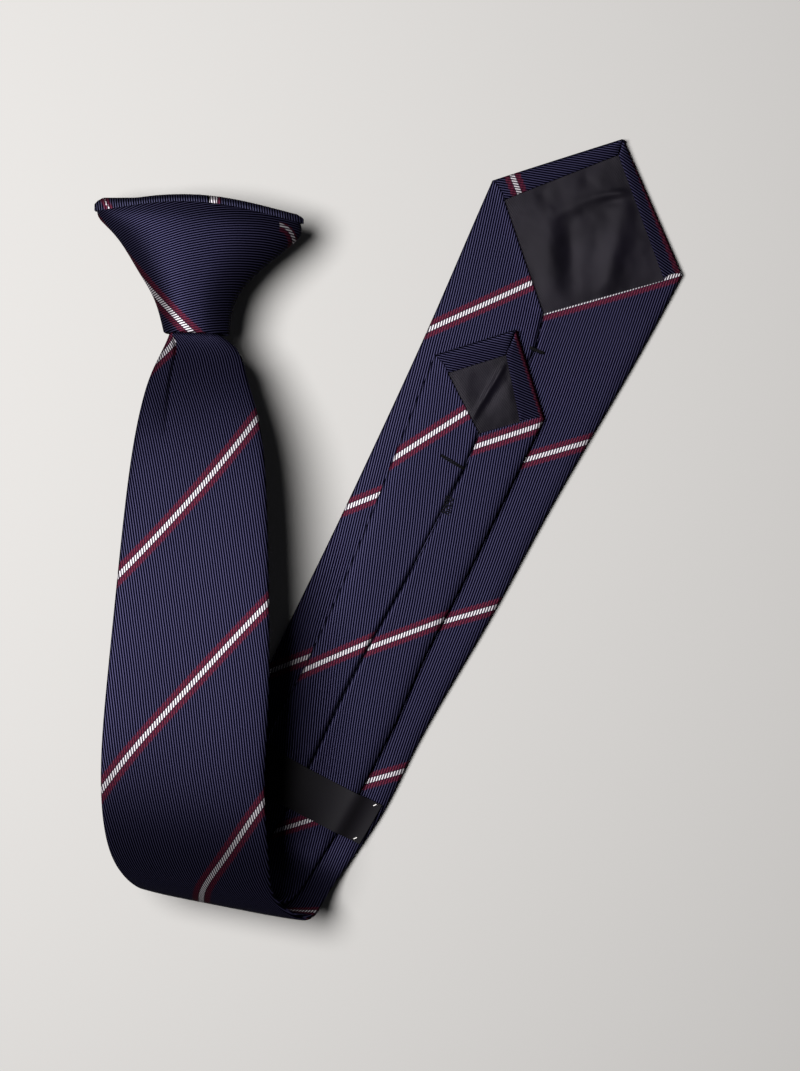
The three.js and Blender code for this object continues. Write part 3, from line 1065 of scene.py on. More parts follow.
# Half a cross-section of the label: distances aside and heights over the band's
# middle surface, down on the blade at both ends and over the tail between them.
LABEL_LINE = (
    (-25.6, 2.0),
    (-22.8, 2.05),
    (-20.6, 3.2),
    (-18.9, 4.75),
    (-15.0, 5.05),
    (0.0, 5.1),
    (14.5, 5.05),
    (18.3, 4.75),
    (20.2, 3.2),
    (22.6, 2.05),
    (26.5, 2.0),
)


@dataclass(frozen=True)
class KeeperLabel:
    """Bare black band across the tail, its ends down on the blade."""

    band: Band
    line: tuple[tuple[float, float], ...] = LABEL_LINE
    low_edge: tuple[float, float] = (243.3, -0.21)
    high_edge: tuple[float, float] = (258.1, -0.14)
    width: float = 16.0
    thick: float = 0.5
    sag: float = 0.18
    sag_turn: float = 0.23
    round_out: tuple[float, float] = (0.004, 0.1)

    def place(self, share: Array, aside: Array, lift: float = 0.0) -> Array:
        """Points on the label's face.

        Args:
            share: 0 at its lower edge and 1 at its upper one.
            aside: Distances from the middle line.
            lift: Height over its middle.

        Returns:
            Points in millimetres.
        """
        table = np.array(self.line)
        low = self.low_edge[0] + self.low_edge[1] * aside
        high = self.high_edge[0] + self.high_edge[1] * aside
        along = low + (high - low) * share
        under = spline(table[:, 0], table[:, 1:], np.ravel(aside))[:, 0].reshape(np.shape(aside))
        sag = self.sag * np.cos(aside * self.sag_turn + 1.0) * (2 * share - 1) ** 2
        return self.band.point(along, aside, -(under + sag) - lift)

    def build(self, material: bpy.types.Material) -> bpy.types.Object:
        """Makes the label.

        Args:
            material: The label's weave.

        Returns:
            The new object.
        """
        asides = np.linspace(self.line[0][0], self.line[-1][0], 105)
        out, high = self.round_out
        around = [(s, self.thick / 2) for s in np.linspace(0, 1, 17)]
        around += [(1 + out, high), (1 + out, -high)]
        around += [(s, -self.thick / 2) for s in np.linspace(1, 0, 17)]
        around += [(-out, -high), (-out, high)]
        n, rows = len(around), len(asides)
        points = np.stack([self.place(np.full(rows, s), asides, h) for s, h in around], 1)
        mesh = ClothMesh("keeper_label")
        mesh.add_points(points)
        i, j = (g.reshape(-1) for g in np.meshgrid(np.arange(rows - 1), np.arange(n), indexing="ij"))
        k = (j + 1) % n
        faces = np.stack([i * n + j, i * n + k, (i + 1) * n + k, (i + 1) * n + j], 1)
        share = np.array([s for s, _ in around]) * self.width
        flat = np.stack([np.tile(share, rows), np.repeat(asides, n)], -1)
        mesh.add_faces(faces, flat[faces], np.full(faces.shape, NO_STRIPE))
        half = np.arange(0, n // 2 - 1)
        for row in (0, rows - 1):
            ends = np.stack([half, half + 1, n - 2 - half, (n - 1 - half) % n], 1) + row * n
            mesh.add_faces(ends, flat[ends], np.full(ends.shape, NO_STRIPE))
        return mesh.make(material)


@dataclass(frozen=True)
class KnotRow:
    """One cross-section of the knot, from its left edge to its right one."""

    left: tuple[float, float]
    right: tuple[float, float]
    edge: float
    front: float
    back: float
    bow: float


KNOT_ROWS = (
    KnotRow((-74.6, 64.8), (-52.9, 64.1), 22.4, 29.6, 14.8, 0.0),
    KnotRow((-77.7, 75.4), (-50.9, 75.1), 21.4, 30.4, 13.2, 0.4),
    KnotRow((-82.9, 84.6), (-43.2, 84.8), 20.4, 31.2, 11.5, 1.2),
    KnotRow((-89.7, 95.4), (-31.8, 94.4), 19.0, 31.0, 10.2, 2.4),
    KnotRow((-95.4, 101.6), (-29.2, 98.6), 19.0, 29.6, 9.7, 3.1),
    KnotRow((-96.8, 104.6), (-29.6, 100.6), 19.0, 27.6, 9.7, 4.1),
)


@dataclass(frozen=True)
class KnotWeave:
    """How the ribs and the two stripes run over the knot, seen from the front.

    The ribs run over the knot as arches, tilted where they cross the upright line.
    One stripe crosses the knot low on the left as a shallow curve, whose height is
    counted from stripe_from; the other is a short arc at the right end of the top.
    """

    upright: float = -64.3
    tilt: float = 12.0
    curl: float = 0.37
    steepest: tuple[float, float] = (-4.0, 42.0)
    stripe_from: float = -74.8
    stripe_rise: tuple[float, float, float] = (0.0065, -1.07, 74.25)
    stripe_share: float = 0.72
    arc_middle: tuple[float, float] = (-37.2, 94.0)
    arc_radius: float = 5.65
    arc_share: float = 1.3
    arc_white: float = 0.8
    arc_outside: float = 3.0
    arc_corner: tuple[float, float] = (-36.6, 92.2)

    def ribs(self, x: Array, y: Array) -> Array:
        """Places counted across and along the ribs.

        Args:
            x: Places across the picture.
            y: Places up the picture.

        Returns:
            Pairs of distances in millimetres.
        """
        aside = x - self.upright
        slope = np.radians(np.clip(self.tilt - 2 * self.curl * aside, *self.steepest))
        lean = np.radians(self.tilt * aside - self.curl * aside**2)
        return np.stack([y - lean, x / np.cos(slope)], -1)

    def stripe_distance(self, x: Array, y: Array) -> Array:
        """Distance of each face's corners from the stripe that the face may show.

        Args:
            x: Places across the picture, one row of corners per face.
            y: Places up the picture, in the same rows.

        Returns:
            Signed distances, as the weave counts them.
        """
        low = (y - np.polyval(self.stripe_rise, x - self.stripe_from)) * self.stripe_share
        away = np.hypot(x - self.arc_middle[0], y - self.arc_middle[1])
        arc = self.arc_share * (away - self.arc_radius)
        outside = np.maximum(arc - self.arc_white, 0.0)
        arc = np.minimum(arc, self.arc_white) + self.arc_outside * outside
        corner = (x.mean(axis=-1) > self.arc_corner[0]) & (y.mean(axis=-1) > self.arc_corner[1])
        return np.where(corner[..., None], arc, low)


@dataclass(frozen=True)
class KnotWrap:
    """The knot's panel of cloth: a tapered tube, open at its lower end."""

    rows: tuple[KnotRow, ...]
    weave: KnotWeave = KnotWeave()
    wall: float = 1.3
    fullness: float = 2.5
    rim_round: float = 0.45
    around: int = 120
    rings: int = 70

    def sections(self) -> Array:
        """Cross-sections from the opening up, with a smooth run between the rows.

        Returns:
            One row of numbers per cross-section, in the order of KnotRow.
        """
        table = [[*r.left, *r.right, r.edge, r.front, r.back, r.bow] for r in self.rows]
        places = np.arange(len(self.rows), dtype=float)
        return spline(places, np.array(table), np.linspace(0, places[-1], self.rings))

    def ring(self, row: Array, inset: float) -> Array:
        """Points once round one cross-section.

        Args:
            row: The cross-section's numbers.
            inset: How far inside the outer skin.

        Returns:
            Points in millimetres.
        """
        lx, ly, rx, ry, edge, front, back, bow = row
        turn = np.linspace(0, 2 * math.pi, self.around, endpoint=False)
        power = 2 / self.fullness
        cx = np.sign(np.cos(turn)) * np.abs(np.cos(turn)) ** power
        cz = np.sign(np.sin(turn)) * np.abs(np.sin(turn)) ** power
        half = math.hypot(rx - lx, ry - ly) / 2
        side = np.array([rx - lx, ry - ly]) / (2 * half)
        depth = np.where(cz > 0, front - edge, edge - back)
        x = (lx + rx) / 2 + side[0] * cx * (half - inset)
        y = (ly + ry) / 2 + side[1] * cx * (half - inset) + bow * (1 - cx**2) ** 1.5
        return np.stack([x, y, edge + cz * (depth - inset)], -1)

    def rim(self, row: Array, inward: bool) -> list[Array]:
        """Rounded edge between the outer and the inner skin.

        Args:
            row: The cross-section at the edge.
            inward: Whether it goes from the outer skin to the inner one, as at the top.

        Returns:
            Three rings of points.
        """
        shares = (0.25, 0.5, 0.75) if inward else (0.75, 0.5, 0.25)
        up = self.rim_round if inward else -self.rim_round
        rings = []
        for share in shares:
            bulge = np.array([0.0, up * math.sin(share * math.pi), 0.0])
            rings.append(self.ring(row, self.wall * share) + bulge)
        return rings

    def build(self, material: bpy.types.Material) -> bpy.types.Object:
        """Makes the knot's panel.

        Args:
            material: The ribbed cloth.

        Returns:
            The new object.
        """
        sections = self.sections()
        outer = [self.ring(row, 0.0) for row in sections]
        inner = [self.ring(row, self.wall) for row in sections[::-1]]
        top, low = self.rim(sections[-1], True), self.rim(sections[0], False)
        rings = np.stack(outer + top + inner + low)
        rows, n = rings.shape[:2]
        mesh = ClothMesh("knot_wrap")
        mesh.add_points(rings)
        i, j = (g.reshape(-1) for g in np.meshgrid(np.arange(rows), np.arange(n), indexing="ij"))
        i1, j1 = (i + 1) % rows, (j + 1) % n
        faces = np.stack([i * n + j, i * n + j1, i1 * n + j1, i1 * n + j], 1)
        corner = rings.reshape(-1, 3)[faces]
        x, y = corner[..., 0], corner[..., 1]
        mesh.add_faces(faces, self.weave.ribs(x, y), self.weave.stripe_distance(x, y))
        return mesh.make(material)


@dataclass(frozen=True)
class RollRow:
    """One cross-section of a roll: place across, top line, depth and least rise."""

    x: float
    top: float
    depth: float
    rise: float


ROLL_LEFT = (
    RollRow(-97.6, 107.3, 1.5, 1.9),
    RollRow(-96.6, 108.3, 2.2, 2.3),
    RollRow(-94.7, 109.3, 3.2, 2.7),
    RollRow(-90.0, 109.15, 5.2, 2.8),
    RollRow(-84.4, 109.05, 6.6, 2.8),
    RollRow(-76.1, 109.5, 7.4, 2.9),
    RollRow(-67.8, 109.9, 7.7, 2.9),
    RollRow(-62.9, 110.0, 7.9, 2.9),
    RollRow(-59.6, 109.5, 7.9, 2.9),
)
ROLL_RIGHT = (
    RollRow(-59.2, 109.5, 7.9, 2.9),
    RollRow(-56.3, 108.5, 7.8, 2.9),
    RollRow(-51.3, 107.4, 7.4, 2.9),
    RollRow(-43.1, 105.5, 6.5, 2.9),
    RollRow(-34.8, 104.4, 4.6, 2.9),
    RollRow(-30.9, 103.9, 2.9, 2.7),
    RollRow(-29.1, 102.6, 1.8, 1.9),
    RollRow(-28.6, 100.9, 1.2, 1.4),
)


@dataclass(frozen=True)
class RollStripe:
    """The stripe across a roll: its place and lean, and how much of it shows.

    squeeze narrows the whole stripe, border narrows its burgundy lines alone, and
    above white_to only burgundy is seen. level is where its place is given.
    """

    x: float
    lean: float
    squeeze: float
    border: float
    white_to: float
    level: float = 107.0
    white_half: float = 0.71
    cover: float = 1.3

    def distance(self, x: Array, y: Array) -> Array:
        """Signed distance of places from the stripe's middle, as the weave counts it.

        Args:
            x: Places across.
            y: Places up the picture.

        Returns:
            Distances in millimetres.
        """
        away = (x - self.x - self.lean * (y - self.level)) * self.squeeze
        outside = np.maximum(0.0, np.abs(away) - self.white_half)
        away = away + self.border * np.sign(away) * outside
        cover = self.cover * smooth(self.white_to - 0.5, self.white_to + 0.5, y)
        return np.where(away < 0, -1.0, 1.0) * np.hypot(away, cover)


LEFT_ROLL_STRIPE = RollStripe(x=-93.4, lean=-0.5, squeeze=1.6, border=0.0, white_to=105.2)
RIGHT_ROLL_STRIPE = RollStripe(x=-58.1, lean=0.1, squeeze=0.52, border=3.0, white_to=120.0)


@dataclass(frozen=True)
class KnotRoll:
    """One turned-over roll of cloth along the knot's top edge, and its one stripe."""

    name: str
    rows: tuple[RollRow, ...]
    stripe: RollStripe
    wall: float = 1.3
    gap: float = 0.35
    forward: float = 0.3
    rib_lean: float = 0.12
    rib_level: float = 106.0
    sections: int = 70
    around: int = 37

    @staticmethod
    def rim(x: Array) -> Array:
        """Height in the picture of the knot's top edge.

        Args:
            x: Places across.

        Returns:
            Places up the picture.
        """
        row = KNOT_ROWS[-1]
        k = 2 * (x - row.left[0]) / (row.right[0] - row.left[0]) - 1
        line = row.left[1] + (row.right[1] - row.left[1]) * (k + 1) / 2
        return line + row.bow * np.maximum(0, 1 - k * k) ** 1.5

    @staticmethod
    def profile(degrees: float) -> tuple[float, float]:
        """One place on the roll's rounded section, flat on top.

        Args:
            degrees: 0 at the front and 180 at the back.

        Returns:
            Share of the rise and share of the depth, front positive.
        """
        turn = math.radians(degrees)
        over = math.cos(turn)
        return math.sqrt(math.sin(turn)), math.copysign(math.sqrt(abs(over)), over)

    def build(self, material: bpy.types.Material) -> bpy.types.Object:
        """Makes the roll.

        Args:
            material: The ribbed cloth.

        Returns:
            The new object.
        """
        table = np.array([[r.x, r.top, r.depth, r.rise] for r in self.rows])
        xs = np.linspace(table[0, 0], table[-1, 0], self.sections)
        top, depth, rise = (np.interp(xs, table[:, 0], table[:, k]) for k in (1, 2, 3))
        low = self.rim(xs) + self.gap
        rise = np.maximum(top - low, rise)
        base = KNOT_ROWS[-1]
        middle = (base.front + base.back) / 2 + self.forward
        thin_rise = rise - np.minimum(self.wall, 0.5 * rise)
        thin_depth = depth - np.minimum(self.wall, 0.5 * depth)
        lines = []
        for degrees in np.linspace(0, 180, self.around):
            up, over = self.profile(degrees)
            lines.append((xs, low + rise * up, middle + depth * over))
        for degrees in np.linspace(180, 0, self.around):
            up, over = self.profile(degrees)
            lines.append((xs, low + thin_rise * up, middle + thin_depth * over))
        points = np.stack([np.stack(line, -1) for line in lines], 1)
        rows, n = points.shape[:2]
        mesh = ClothMesh(self.name)
        mesh.add_points(points)
        i, j = (g.reshape(-1) for g in np.meshgrid(np.arange(rows - 1), np.arange(n), indexing="ij"))
        k = (j + 1) % n
        faces = np.stack([i * n + j, i * n + k, (i + 1) * n + k, (i + 1) * n + j], 1)
        half = np.arange(0, n // 2 - 1)
        end = np.stack([half, half + 1, n - 2 - half, n - 1 - half], 1)
        for group in (faces, end, end + (rows - 1) * n):
            corner = points.reshape(-1, 3)[group]
            x, y, z = (corner[..., axis] for axis in range(3))
            across = x + self.rib_lean * (y - self.rib_level)
            mesh.add_faces(group, np.stack([across, y + z], -1), self.stripe.distance(x, y))
        return mesh.make(material)


# The clip's strip seen from the side: places up the picture and heights.
CLIP_LINE = (
    (79.0, 1.1),
    (81.5, 0.55),
    (84.0, 0.5),
    (101.0, 0.5),
    (103.0, 1.05),
    (104.5, 2.55),
    (105.0, 4.6),
    (104.5, 6.65),
    (103.0, 8.15),
    (101.0, 8.7),
    (86.0, 8.7),
)


@dataclass(frozen=True)
class CollarClip:
    """The hidden clip: one strip bent back over itself, resting on the table."""

    line: tuple[tuple[float, float], ...] = CLIP_LINE
    x: float = -62.6
    width: float = 12.0
    thick: float = 1.0
    rounding: float = 0.15

    def build(self, material: bpy.types.Material) -> bpy.types.Object:
        """Makes the clip.

        Args:
            material: The clip's steel.

        Returns:
            The new object.
        """
        table = np.array(self.line)
        run = run_of(table)
        bpy.ops.object.select_all(action="DESELECT")
        bpy.ops.mesh.primitive_grid_add(x_subdivisions=6, y_subdivisions=60, size=1.0)
        obj = bpy.context.object
        obj.name = "collar_clip_strip"
        for vertex in obj.data.vertices:
            place = (vertex.co.y + 0.5) * run[-1]
            y = float(np.interp(place, run, table[:, 0]))
            z = float(np.interp(place, run, table[:, 1]))
            vertex.co = Vector((self.x + vertex.co.x * self.width, y, z)) * MM
        thick = obj.modifiers.new("thickness", "SOLIDIFY")
        thick.thickness = self.thick * MM
        thick.offset = 0.0
        bevel = obj.modifiers.new("rounded edges", "BEVEL")
        bevel.width = self.rounding * MM
        bevel.segments = 2
        bevel.limit_method = "ANGLE"
        obj.data.materials.append(material)
        only(obj)
        bpy.ops.object.modifier_apply(modifier=thick.name)
        bpy.ops.object.modifier_apply(modifier=bevel.name)
        bpy.ops.object.shade_smooth_by_angle(angle=math.radians(40))
        return obj


# Threads over the blade's seam and beside the tail's, by breaks: along and aside,
# then the height over the face that they lie on, which is out of the cloth below 0.
BAR_CORE = ((417.9, 0.2, 0.3), (417.9, 1.2, -0.15), (418.1, 4.6, -0.25), (418.2, 5.7, 0.35))
BAR_TURN = ((417.3, 0.0, 0.2), (418.0, 0.12, -0.48), (418.7, 0.25, 0.2))
LOOSE_STRANDS = (
    (
        (372.4, -9.6, 0.1),
        (372.3, -8.6, -0.35),
        (372.0, -5.0, -0.6),
        (371.6, -1.6, -0.4),
        (371.5, -0.6, 0.2),
    ),
    (
        (372.0, -9.4, 0.1),
        (371.8, -8.4, -0.3),
        (371.4, -5.0, -0.5),
        (371.2, -1.8, -0.35),
        (371.3, -0.7, 0.2),
    ),
)

# Where the label's corner stitches are: share of its width and distance aside.
LABEL_CORNERS = ((0.93, 24.4), (0.07, 24.2), (0.93, -24.0), (0.07, -24.0))


@dataclass(frozen=True)
class Stitches:
    """Sewing threads that show: the bar tack, the loose stitch, the darn and the label's corners."""

    band: Band
    label: KeeperLabel
    core_radius: float = 0.2
    turn_radius: float = 0.17
    strand_radius: float = 0.24
    darn_radius: float = 0.16
    corner_radius: float = 0.15
    turns: int = 6
    turn_start: float = 1.1
    turn_step: float = 0.68
    darn_rows: tuple[int, int] = (8, 5)
    darn_start: tuple[float, float] = (355.2, -1.3)
    darn_step: tuple[float, float] = (0.78, 0.62)
    darn_lean: float = 0.18
    darn_reach: tuple[float, float] = (0.28, 0.26)

    def tube(self, name: str, runs: Sequence[tuple[Array, float]],
             material: bpy.types.Material) -> bpy.types.Object:
        """Round threads through points.

        Args:
            name: The piece's name.
            runs: Points in millimetres and the thread's radius, per thread.
            material: What the thread is made of.

        Returns:
            One object holding all the threads.
        """
        curve = bpy.data.curves.new(name, "CURVE")
        curve.dimensions = "3D"
        curve.bevel_depth = MM
        curve.bevel_resolution = 2
        curve.use_fill_caps = True
        for points, radius in runs:
            line = curve.splines.new("POLY")
            line.points.add(len(points) - 1)
            for knot, place in zip(line.points, points):
                knot.co = (*(place * MM), 1.0)
                knot.radius = radius
        obj = bpy.data.objects.new(name, curve)
        bpy.context.scene.collection.objects.link(obj)
        obj.data.materials.append(material)
        only(obj)
        bpy.ops.object.convert(target="MESH")
        bpy.ops.object.shade_smooth()
        bpy.ops.object.select_all(action="DESELECT")
        return obj

    def lay(self, breaks: Sequence[Sequence[float]], face: float, radius: float) -> tuple[Array, float]:
        """One thread that lies on a face of the band.

        Args:
            breaks: Along, aside and height over the face of each break.
            face: The face's height over the band's middle surface.
            radius: The thread's radius.

        Returns:
            Points and the radius.
        """
        table = np.array(breaks, float) + (0.0, 0.0, face)
        if len(table) > 2:
            places = np.arange(len(table), dtype=float)
            table = spline(places, table, np.linspace(0, places[-1], 5 * (len(table) - 1) + 1))
        return self.band.point(table[:, 0], table[:, 1], table[:, 2]), radius

    def bar_tack(self, material: bpy.types.Material) -> bpy.types.Object:
        """Short thick bar across the blade's seam, threads wound round a core.

        Args:
            material: Black thread.

        Returns:
            The new object.
        """
        face = -BLADE.thick / 2 - 0.05
        runs = []
        for shift in (-0.3, 0.0, 0.3):
            core = np.array(BAR_CORE) + (shift, 0.0, 0.0)
            runs.append(self.lay(core, face, self.core_radius))
        for number in range(self.turns):
            turn = np.array(BAR_TURN) + (0.0, self.turn_start + number * self.turn_step, 0.0)
            runs.append(self.lay(turn, face, self.turn_radius))
        return self.tube("blade_bar_tack", runs, material)

    def tail_thread(self, material: bpy.types.Material) -> bpy.types.Object:
        """Loose two-strand stitch beside the tail's seam and the darned patch below it.

        Args:
            material: Black thread.

        Returns:
            The new object.
        """
        face = TAIL.middle_out - TAIL.thick / 2
        runs = [self.lay(strand, face, self.strand_radius) for strand in LOOSE_STRANDS]
        down, side = self.darn_reach
        for row, k in np.ndindex(self.darn_rows):
            a = self.darn_start[0] + row * self.darn_step[0]
            v = self.darn_start[1] + k * self.darn_step[1]
            v += self.darn_lean * (row % 2) - self.darn_lean * (a - 358)
            slant = side if (row + k) % 2 else -side
            thread = ((a - down, v - slant, -0.06), (a + down, v + slant, -0.14))
            runs.append(self.lay(thread, face, self.darn_radius))
        return self.tube("tail_stitches", runs, material)

    def label_corners(self, material: bpy.types.Material) -> bpy.types.Object:
        """Small pale stitches at the label's corners.

        Args:
            material: Pale thread.

        Returns:
            The new object.
        """
        runs = []
        reach = np.array([-1.0, 0.0, 1.0])
        for share, aside in LABEL_CORNERS:
            thread = self.label.place(share + 0.03 * reach, aside + 0.35 * reach, 0.32)
            runs.append((thread, self.corner_radius))
        return self.tube("label_corner_stitches", runs, material)


def linear(code: str) -> tuple[float, float, float, float]:
    """Colour of a hex code, turned from sRGB to linear.

    Args:
        code: Six hex digits after a hash sign.

    Returns:
        Linear red, green, blue and full cover.
    """
    parts = [int(code[i:i + 2], 16) / 255 for i in (1, 3, 5)]
    parts = [c / 12.92 if c <= 0.04045 else ((c + 0.055) / 1.055) ** 2.4 for c in parts]
    return (*parts, 1.0)


class Finish:
    """One material's nodes, all added by the same small function."""

    def __init__(self, name: str) -> None:
        """Starts a material.

        Args:
            name: The material's name.
        """
        self.material = bpy.data.materials.new(name)
        self.material.use_nodes = True
        self.tree = self.material.node_tree
        self.tree.nodes.clear()

    def add(self, kind: str, inputs: Union[tuple, dict] = (), **settings: str) -> Node:
        """Adds one node with its settings and links.

        Args:
            kind: Its type, without the word that all shader nodes start with.
            inputs: Values, nodes or outputs, in order or by the input's name or number.
                A node stands for its first output.
            **settings: Properties to set.

        Returns:
            The node.
        """
        node = self.tree.nodes.new("ShaderNode" + kind)
        for name, value in settings.items():
            setattr(node, name, value)
        pairs = inputs.items() if isinstance(inputs, dict) else enumerate(inputs)
        for key, value in pairs:
            if isinstance(value, Node):
                value = value.outputs[0]
            if isinstance(value, Socket):
                self.tree.links.new(value, node.inputs[key])
            else:
                node.inputs[key].default_value = value
        return node

    def close(self, looks: dict) -> bpy.types.Material:
        """Closes the material with one surface.

        Args:
            looks: The surface's inputs by name.

        Returns:
            The material.
        """
        self.add("OutputMaterial", (self.add("BsdfPrincipled", looks),))
        return self.material


@dataclass(frozen=True)
class RibCloth:
    """Navy ribbed silk, woven with white stripes between burgundy lines.

    Fine ridges stand over dark ground, 0.82 mm apart as on the real cloth, so the eye
    sees a grain and a soft shimmer. The ridges' pale blue is partly the thread's own
    colour and partly a painted highlight on each rib's crest, and the near-black ground
    is partly painted shade in the grooves; the burgundy and white lines are painted the
    same way. In the stripes the threads cross the ribs and show as slanted bars. The
    gloss has the cloth's own colour, as on dyed silk (metallic), spreads across the ribs
    (anisotropic, turned by the map) and dies where the cloth turns away from the eye
    (black tint).
    """

    name: str = "navy ribbed silk"
    # Each ground colour is partly painted shade in the grooves and each ridge colour partly a painted
    # highlight on the rib crests.
    ground: str = "#020208"
    ridge: str = "#302e44"
    burgundy_ground: str = "#170710"
    burgundy_ridge: str = "#461a28"
    white_ground: str = "#2c272d"
    white_ridge: str = "#a09ca0"
    rim: str = "#0b0814"
    rib_mm: float = 0.82
    wander_mm: float = 0.35
    wander_per_m: float = 90.0
    bars_per_mm: float = 0.563
    twill_per_mm: float = 0.9
    white_half_mm: float = 0.77
    band_half_mm: float = 2.6
    relief_mm: float = 0.12
    fluff_per_m: float = 2600.0
    crown_from: float = 0.57
    gloss: float = 0.75
    roughness: float = 0.54
    spread: float = 0.5

    def _across(self, f: Finish, ribs: Node) -> Node:
        """Count across the ribs, which wander a little, as woven threads do.

        Args:
            f: The material being made.
            ribs: Distances across and along the ribs.

        Returns:
            Distance across the ribs, in millimetres.
        """
        place = f.add("TexCoord").outputs["Object"]
        clouds = f.add("TexNoise", {"Vector": place, "Scale": self.wander_per_m})
        middled = f.add("Math", (clouds, 0.5), operation="SUBTRACT")
        wander = f.add("Math", (middled, self.wander_mm), operation="MULTIPLY")
        return f.add("Math", (ribs, wander), operation="ADD")

    def _slant(self, f: Finish, across: Node, distance: Node) -> Node:
        """Slanted bars of the stripes, from -1 to 1.

        Args:
            f: The material being made.
            across: Distance across the ribs.
            distance: Distance from the stripe's middle.

        Returns:
            The bars.
        """
        bars = f.add("Math", (across, self.bars_per_mm * 2 * math.pi), operation="MULTIPLY")
        twill = f.add("Math", (distance, self.twill_per_mm * 2 * math.pi), operation="MULTIPLY")
        return f.add("Math", (f.add("Math", (bars, twill), operation="ADD"),), operation="COSINE")

    def _navy(self, f: Finish, wave: Node, across: Node, ribs: Node) -> Socket:
        """Dark ground with pale-blue ridges that are a little uneven, as spun thread is: painted shade
        in the grooves and a painted highlight on the crests, over the threads' own colour.

        Args:
            f: The material being made.
            wave: The ribs, 0 in a valley and 1 on a ridge.
            across: Distance across the ribs.
            ribs: Distances across and along the ribs.

        Returns:
            The colour.
        """
        aside = f.add("Math", (across, 1.3), operation="MULTIPLY")
        down = f.add("Math", (ribs.outputs["Y"], 2.4), operation="MULTIPLY")
        place = f.add("CombineXYZ", (aside, down))
        speck = f.add("TexNoise", {"Vector": place, "Scale": 1.0, "Detail": 1.0})
        tone = f.add("Mix", {0: 0.35, 2: 0.5, 3: speck}, data_type="FLOAT")
        twice = f.add("Math", (tone, 2.0), operation="MULTIPLY")
        crown = f.add("MapRange", (wave, self.crown_from, 1.0), interpolation_type="SMOOTHSTEP")
        ridge = f.add("Math", (crown, twice), operation="MULTIPLY")
        # Painted shade in the grooves and a painted highlight on the crests, over the threads' own
        # colour.
        colours = {0: ridge, 6: linear(self.ground), 7: linear(self.ridge)}
        return f.add("Mix", colours, data_type="RGBA").outputs[2]

    def _burgundy(self, f: Finish, wave: Node, slant: Node) -> Socket:
        """Burgundy lines, their ridges broken by the slanted bars.

        Args:
            f: The material being made.
            wave: The ribs.
            slant: The slanted bars.

        Returns:
            The colour.
        """
        twill = f.add("Math", (slant, 0.25, 0.75), operation="MULTIPLY_ADD")
        ridge = f.add("MapRange", (wave, 0.0, 0.7), interpolation_type="SMOOTHSTEP")
        lit = f.add("Math", (ridge, twill), operation="MULTIPLY")
        colours = {0: lit, 6: linear(self.burgundy_ground), 7: linear(self.burgundy_ridge)}
        return f.add("Mix", colours, data_type="RGBA").outputs[2]

    def _striped(self, f: Finish, navy: Socket, wave: Node, slant: Node, distance: Node) -> Socket:
        """Lays the stripe over the navy: burgundy, white over it, and a dark rim between.

        Args:
            f: The material being made.
            navy: The cloth's own colour.
            wave: The ribs.
            slant: The slanted bars.
            distance: Distance from the stripe's middle.

        Returns:
            The colour.
        """
        soft = "SMOOTHSTEP"
        away = f.add("Math", (distance,), operation="ABSOLUTE")
        nibble = f.add("Math", (slant, 0.14), operation="MULTIPLY")
        reach = f.add("Math", (away, nibble), operation="SUBTRACT")
        band, white = self.band_half_mm, self.white_half_mm
        in_band = f.add("MapRange", (reach, band + 0.35, band - 0.3), interpolation_type=soft)
        in_white = f.add("MapRange", (away, white + 0.07, white - 0.05), interpolation_type=soft)
        near = f.add("MapRange", (away, white - 0.02, white + 0.1), interpolation_type=soft)
        far = f.add("MapRange", (away, white + 0.3, white + 0.16), interpolation_type=soft)
        edge = f.add("Math", (near, far), operation="MULTIPLY")
        in_rim = f.add("Math", (edge, 0.85), operation="MULTIPLY")
        bars = f.add("MapRange", (wave, 0.34, 0.8), interpolation_type=soft)
        threads = {0: bars, 6: linear(self.white_ground), 7: linear(self.white_ridge)}
        pale = f.add("Mix", threads, data_type="RGBA").outputs[2]
        colour = navy
        for share, over in (
            (in_band, self._burgundy(f, wave, slant)),
            (in_white, pale),
            (in_rim, linear(self.rim)),
        ):
            colour = f.add("Mix", {0: share, 6: colour, 7: over}, data_type="RGBA").outputs[2]
        return colour

    def _relief(self, f: Finish, wave: Node) -> Node:
        """Ribs that stand up, with the fluff of their threads.

        Args:
            f: The material being made.
            wave: The ribs.

        Returns:
            The changed normal.
        """
        place = f.add("TexCoord").outputs["Object"]
        fluff = f.add("TexNoise", {"Vector": place, "Scale": self.fluff_per_m, "Detail": 1.0})
        ridges = f.add("Math", (wave, 0.85), operation="MULTIPLY")
        threads = f.add("Math", (fluff, 0.15), operation="MULTIPLY")
        height = f.add("Math", (ridges, threads), operation="ADD")
        return f.add("Bump", {"Height": height, "Distance": self.relief_mm * MM, "Strength": 0.8})

    def material(self) -> bpy.types.Material:
        """Makes the material.

        Returns:
            The material.
        """
        f = Finish(self.name)
        ribs = f.add("SeparateXYZ", (f.add("UVMap", uv_map="ribs"),))
        distance = f.add("SeparateXYZ", (f.add("UVMap", uv_map="stripes"),))
        across = self._across(f, ribs)
        slant = self._slant(f, across, distance)
        phase = f.add("Math", (across, 2 * math.pi / self.rib_mm), operation="MULTIPLY")
        turn = f.add("Math", (phase,), operation="COSINE")
        wave = f.add("Math", (turn, 0.5, 0.5), operation="MULTIPLY_ADD")
        navy = self._navy(f, wave, across, ribs)
        return f.close({
            "Base Color": self._striped(f, navy, wave, slant, distance),
            "Metallic": self.gloss,
            "Roughness": self.roughness,
            "Anisotropic": self.spread,
            "Tangent": f.add("Tangent", direction_type="UV_MAP", uv_map="ribs"),
            "Specular IOR Level": 0.02,
            "Specular Tint": (0.0, 0.0, 0.0, 1.0),
            "Normal": self._relief(f, wave),
        })


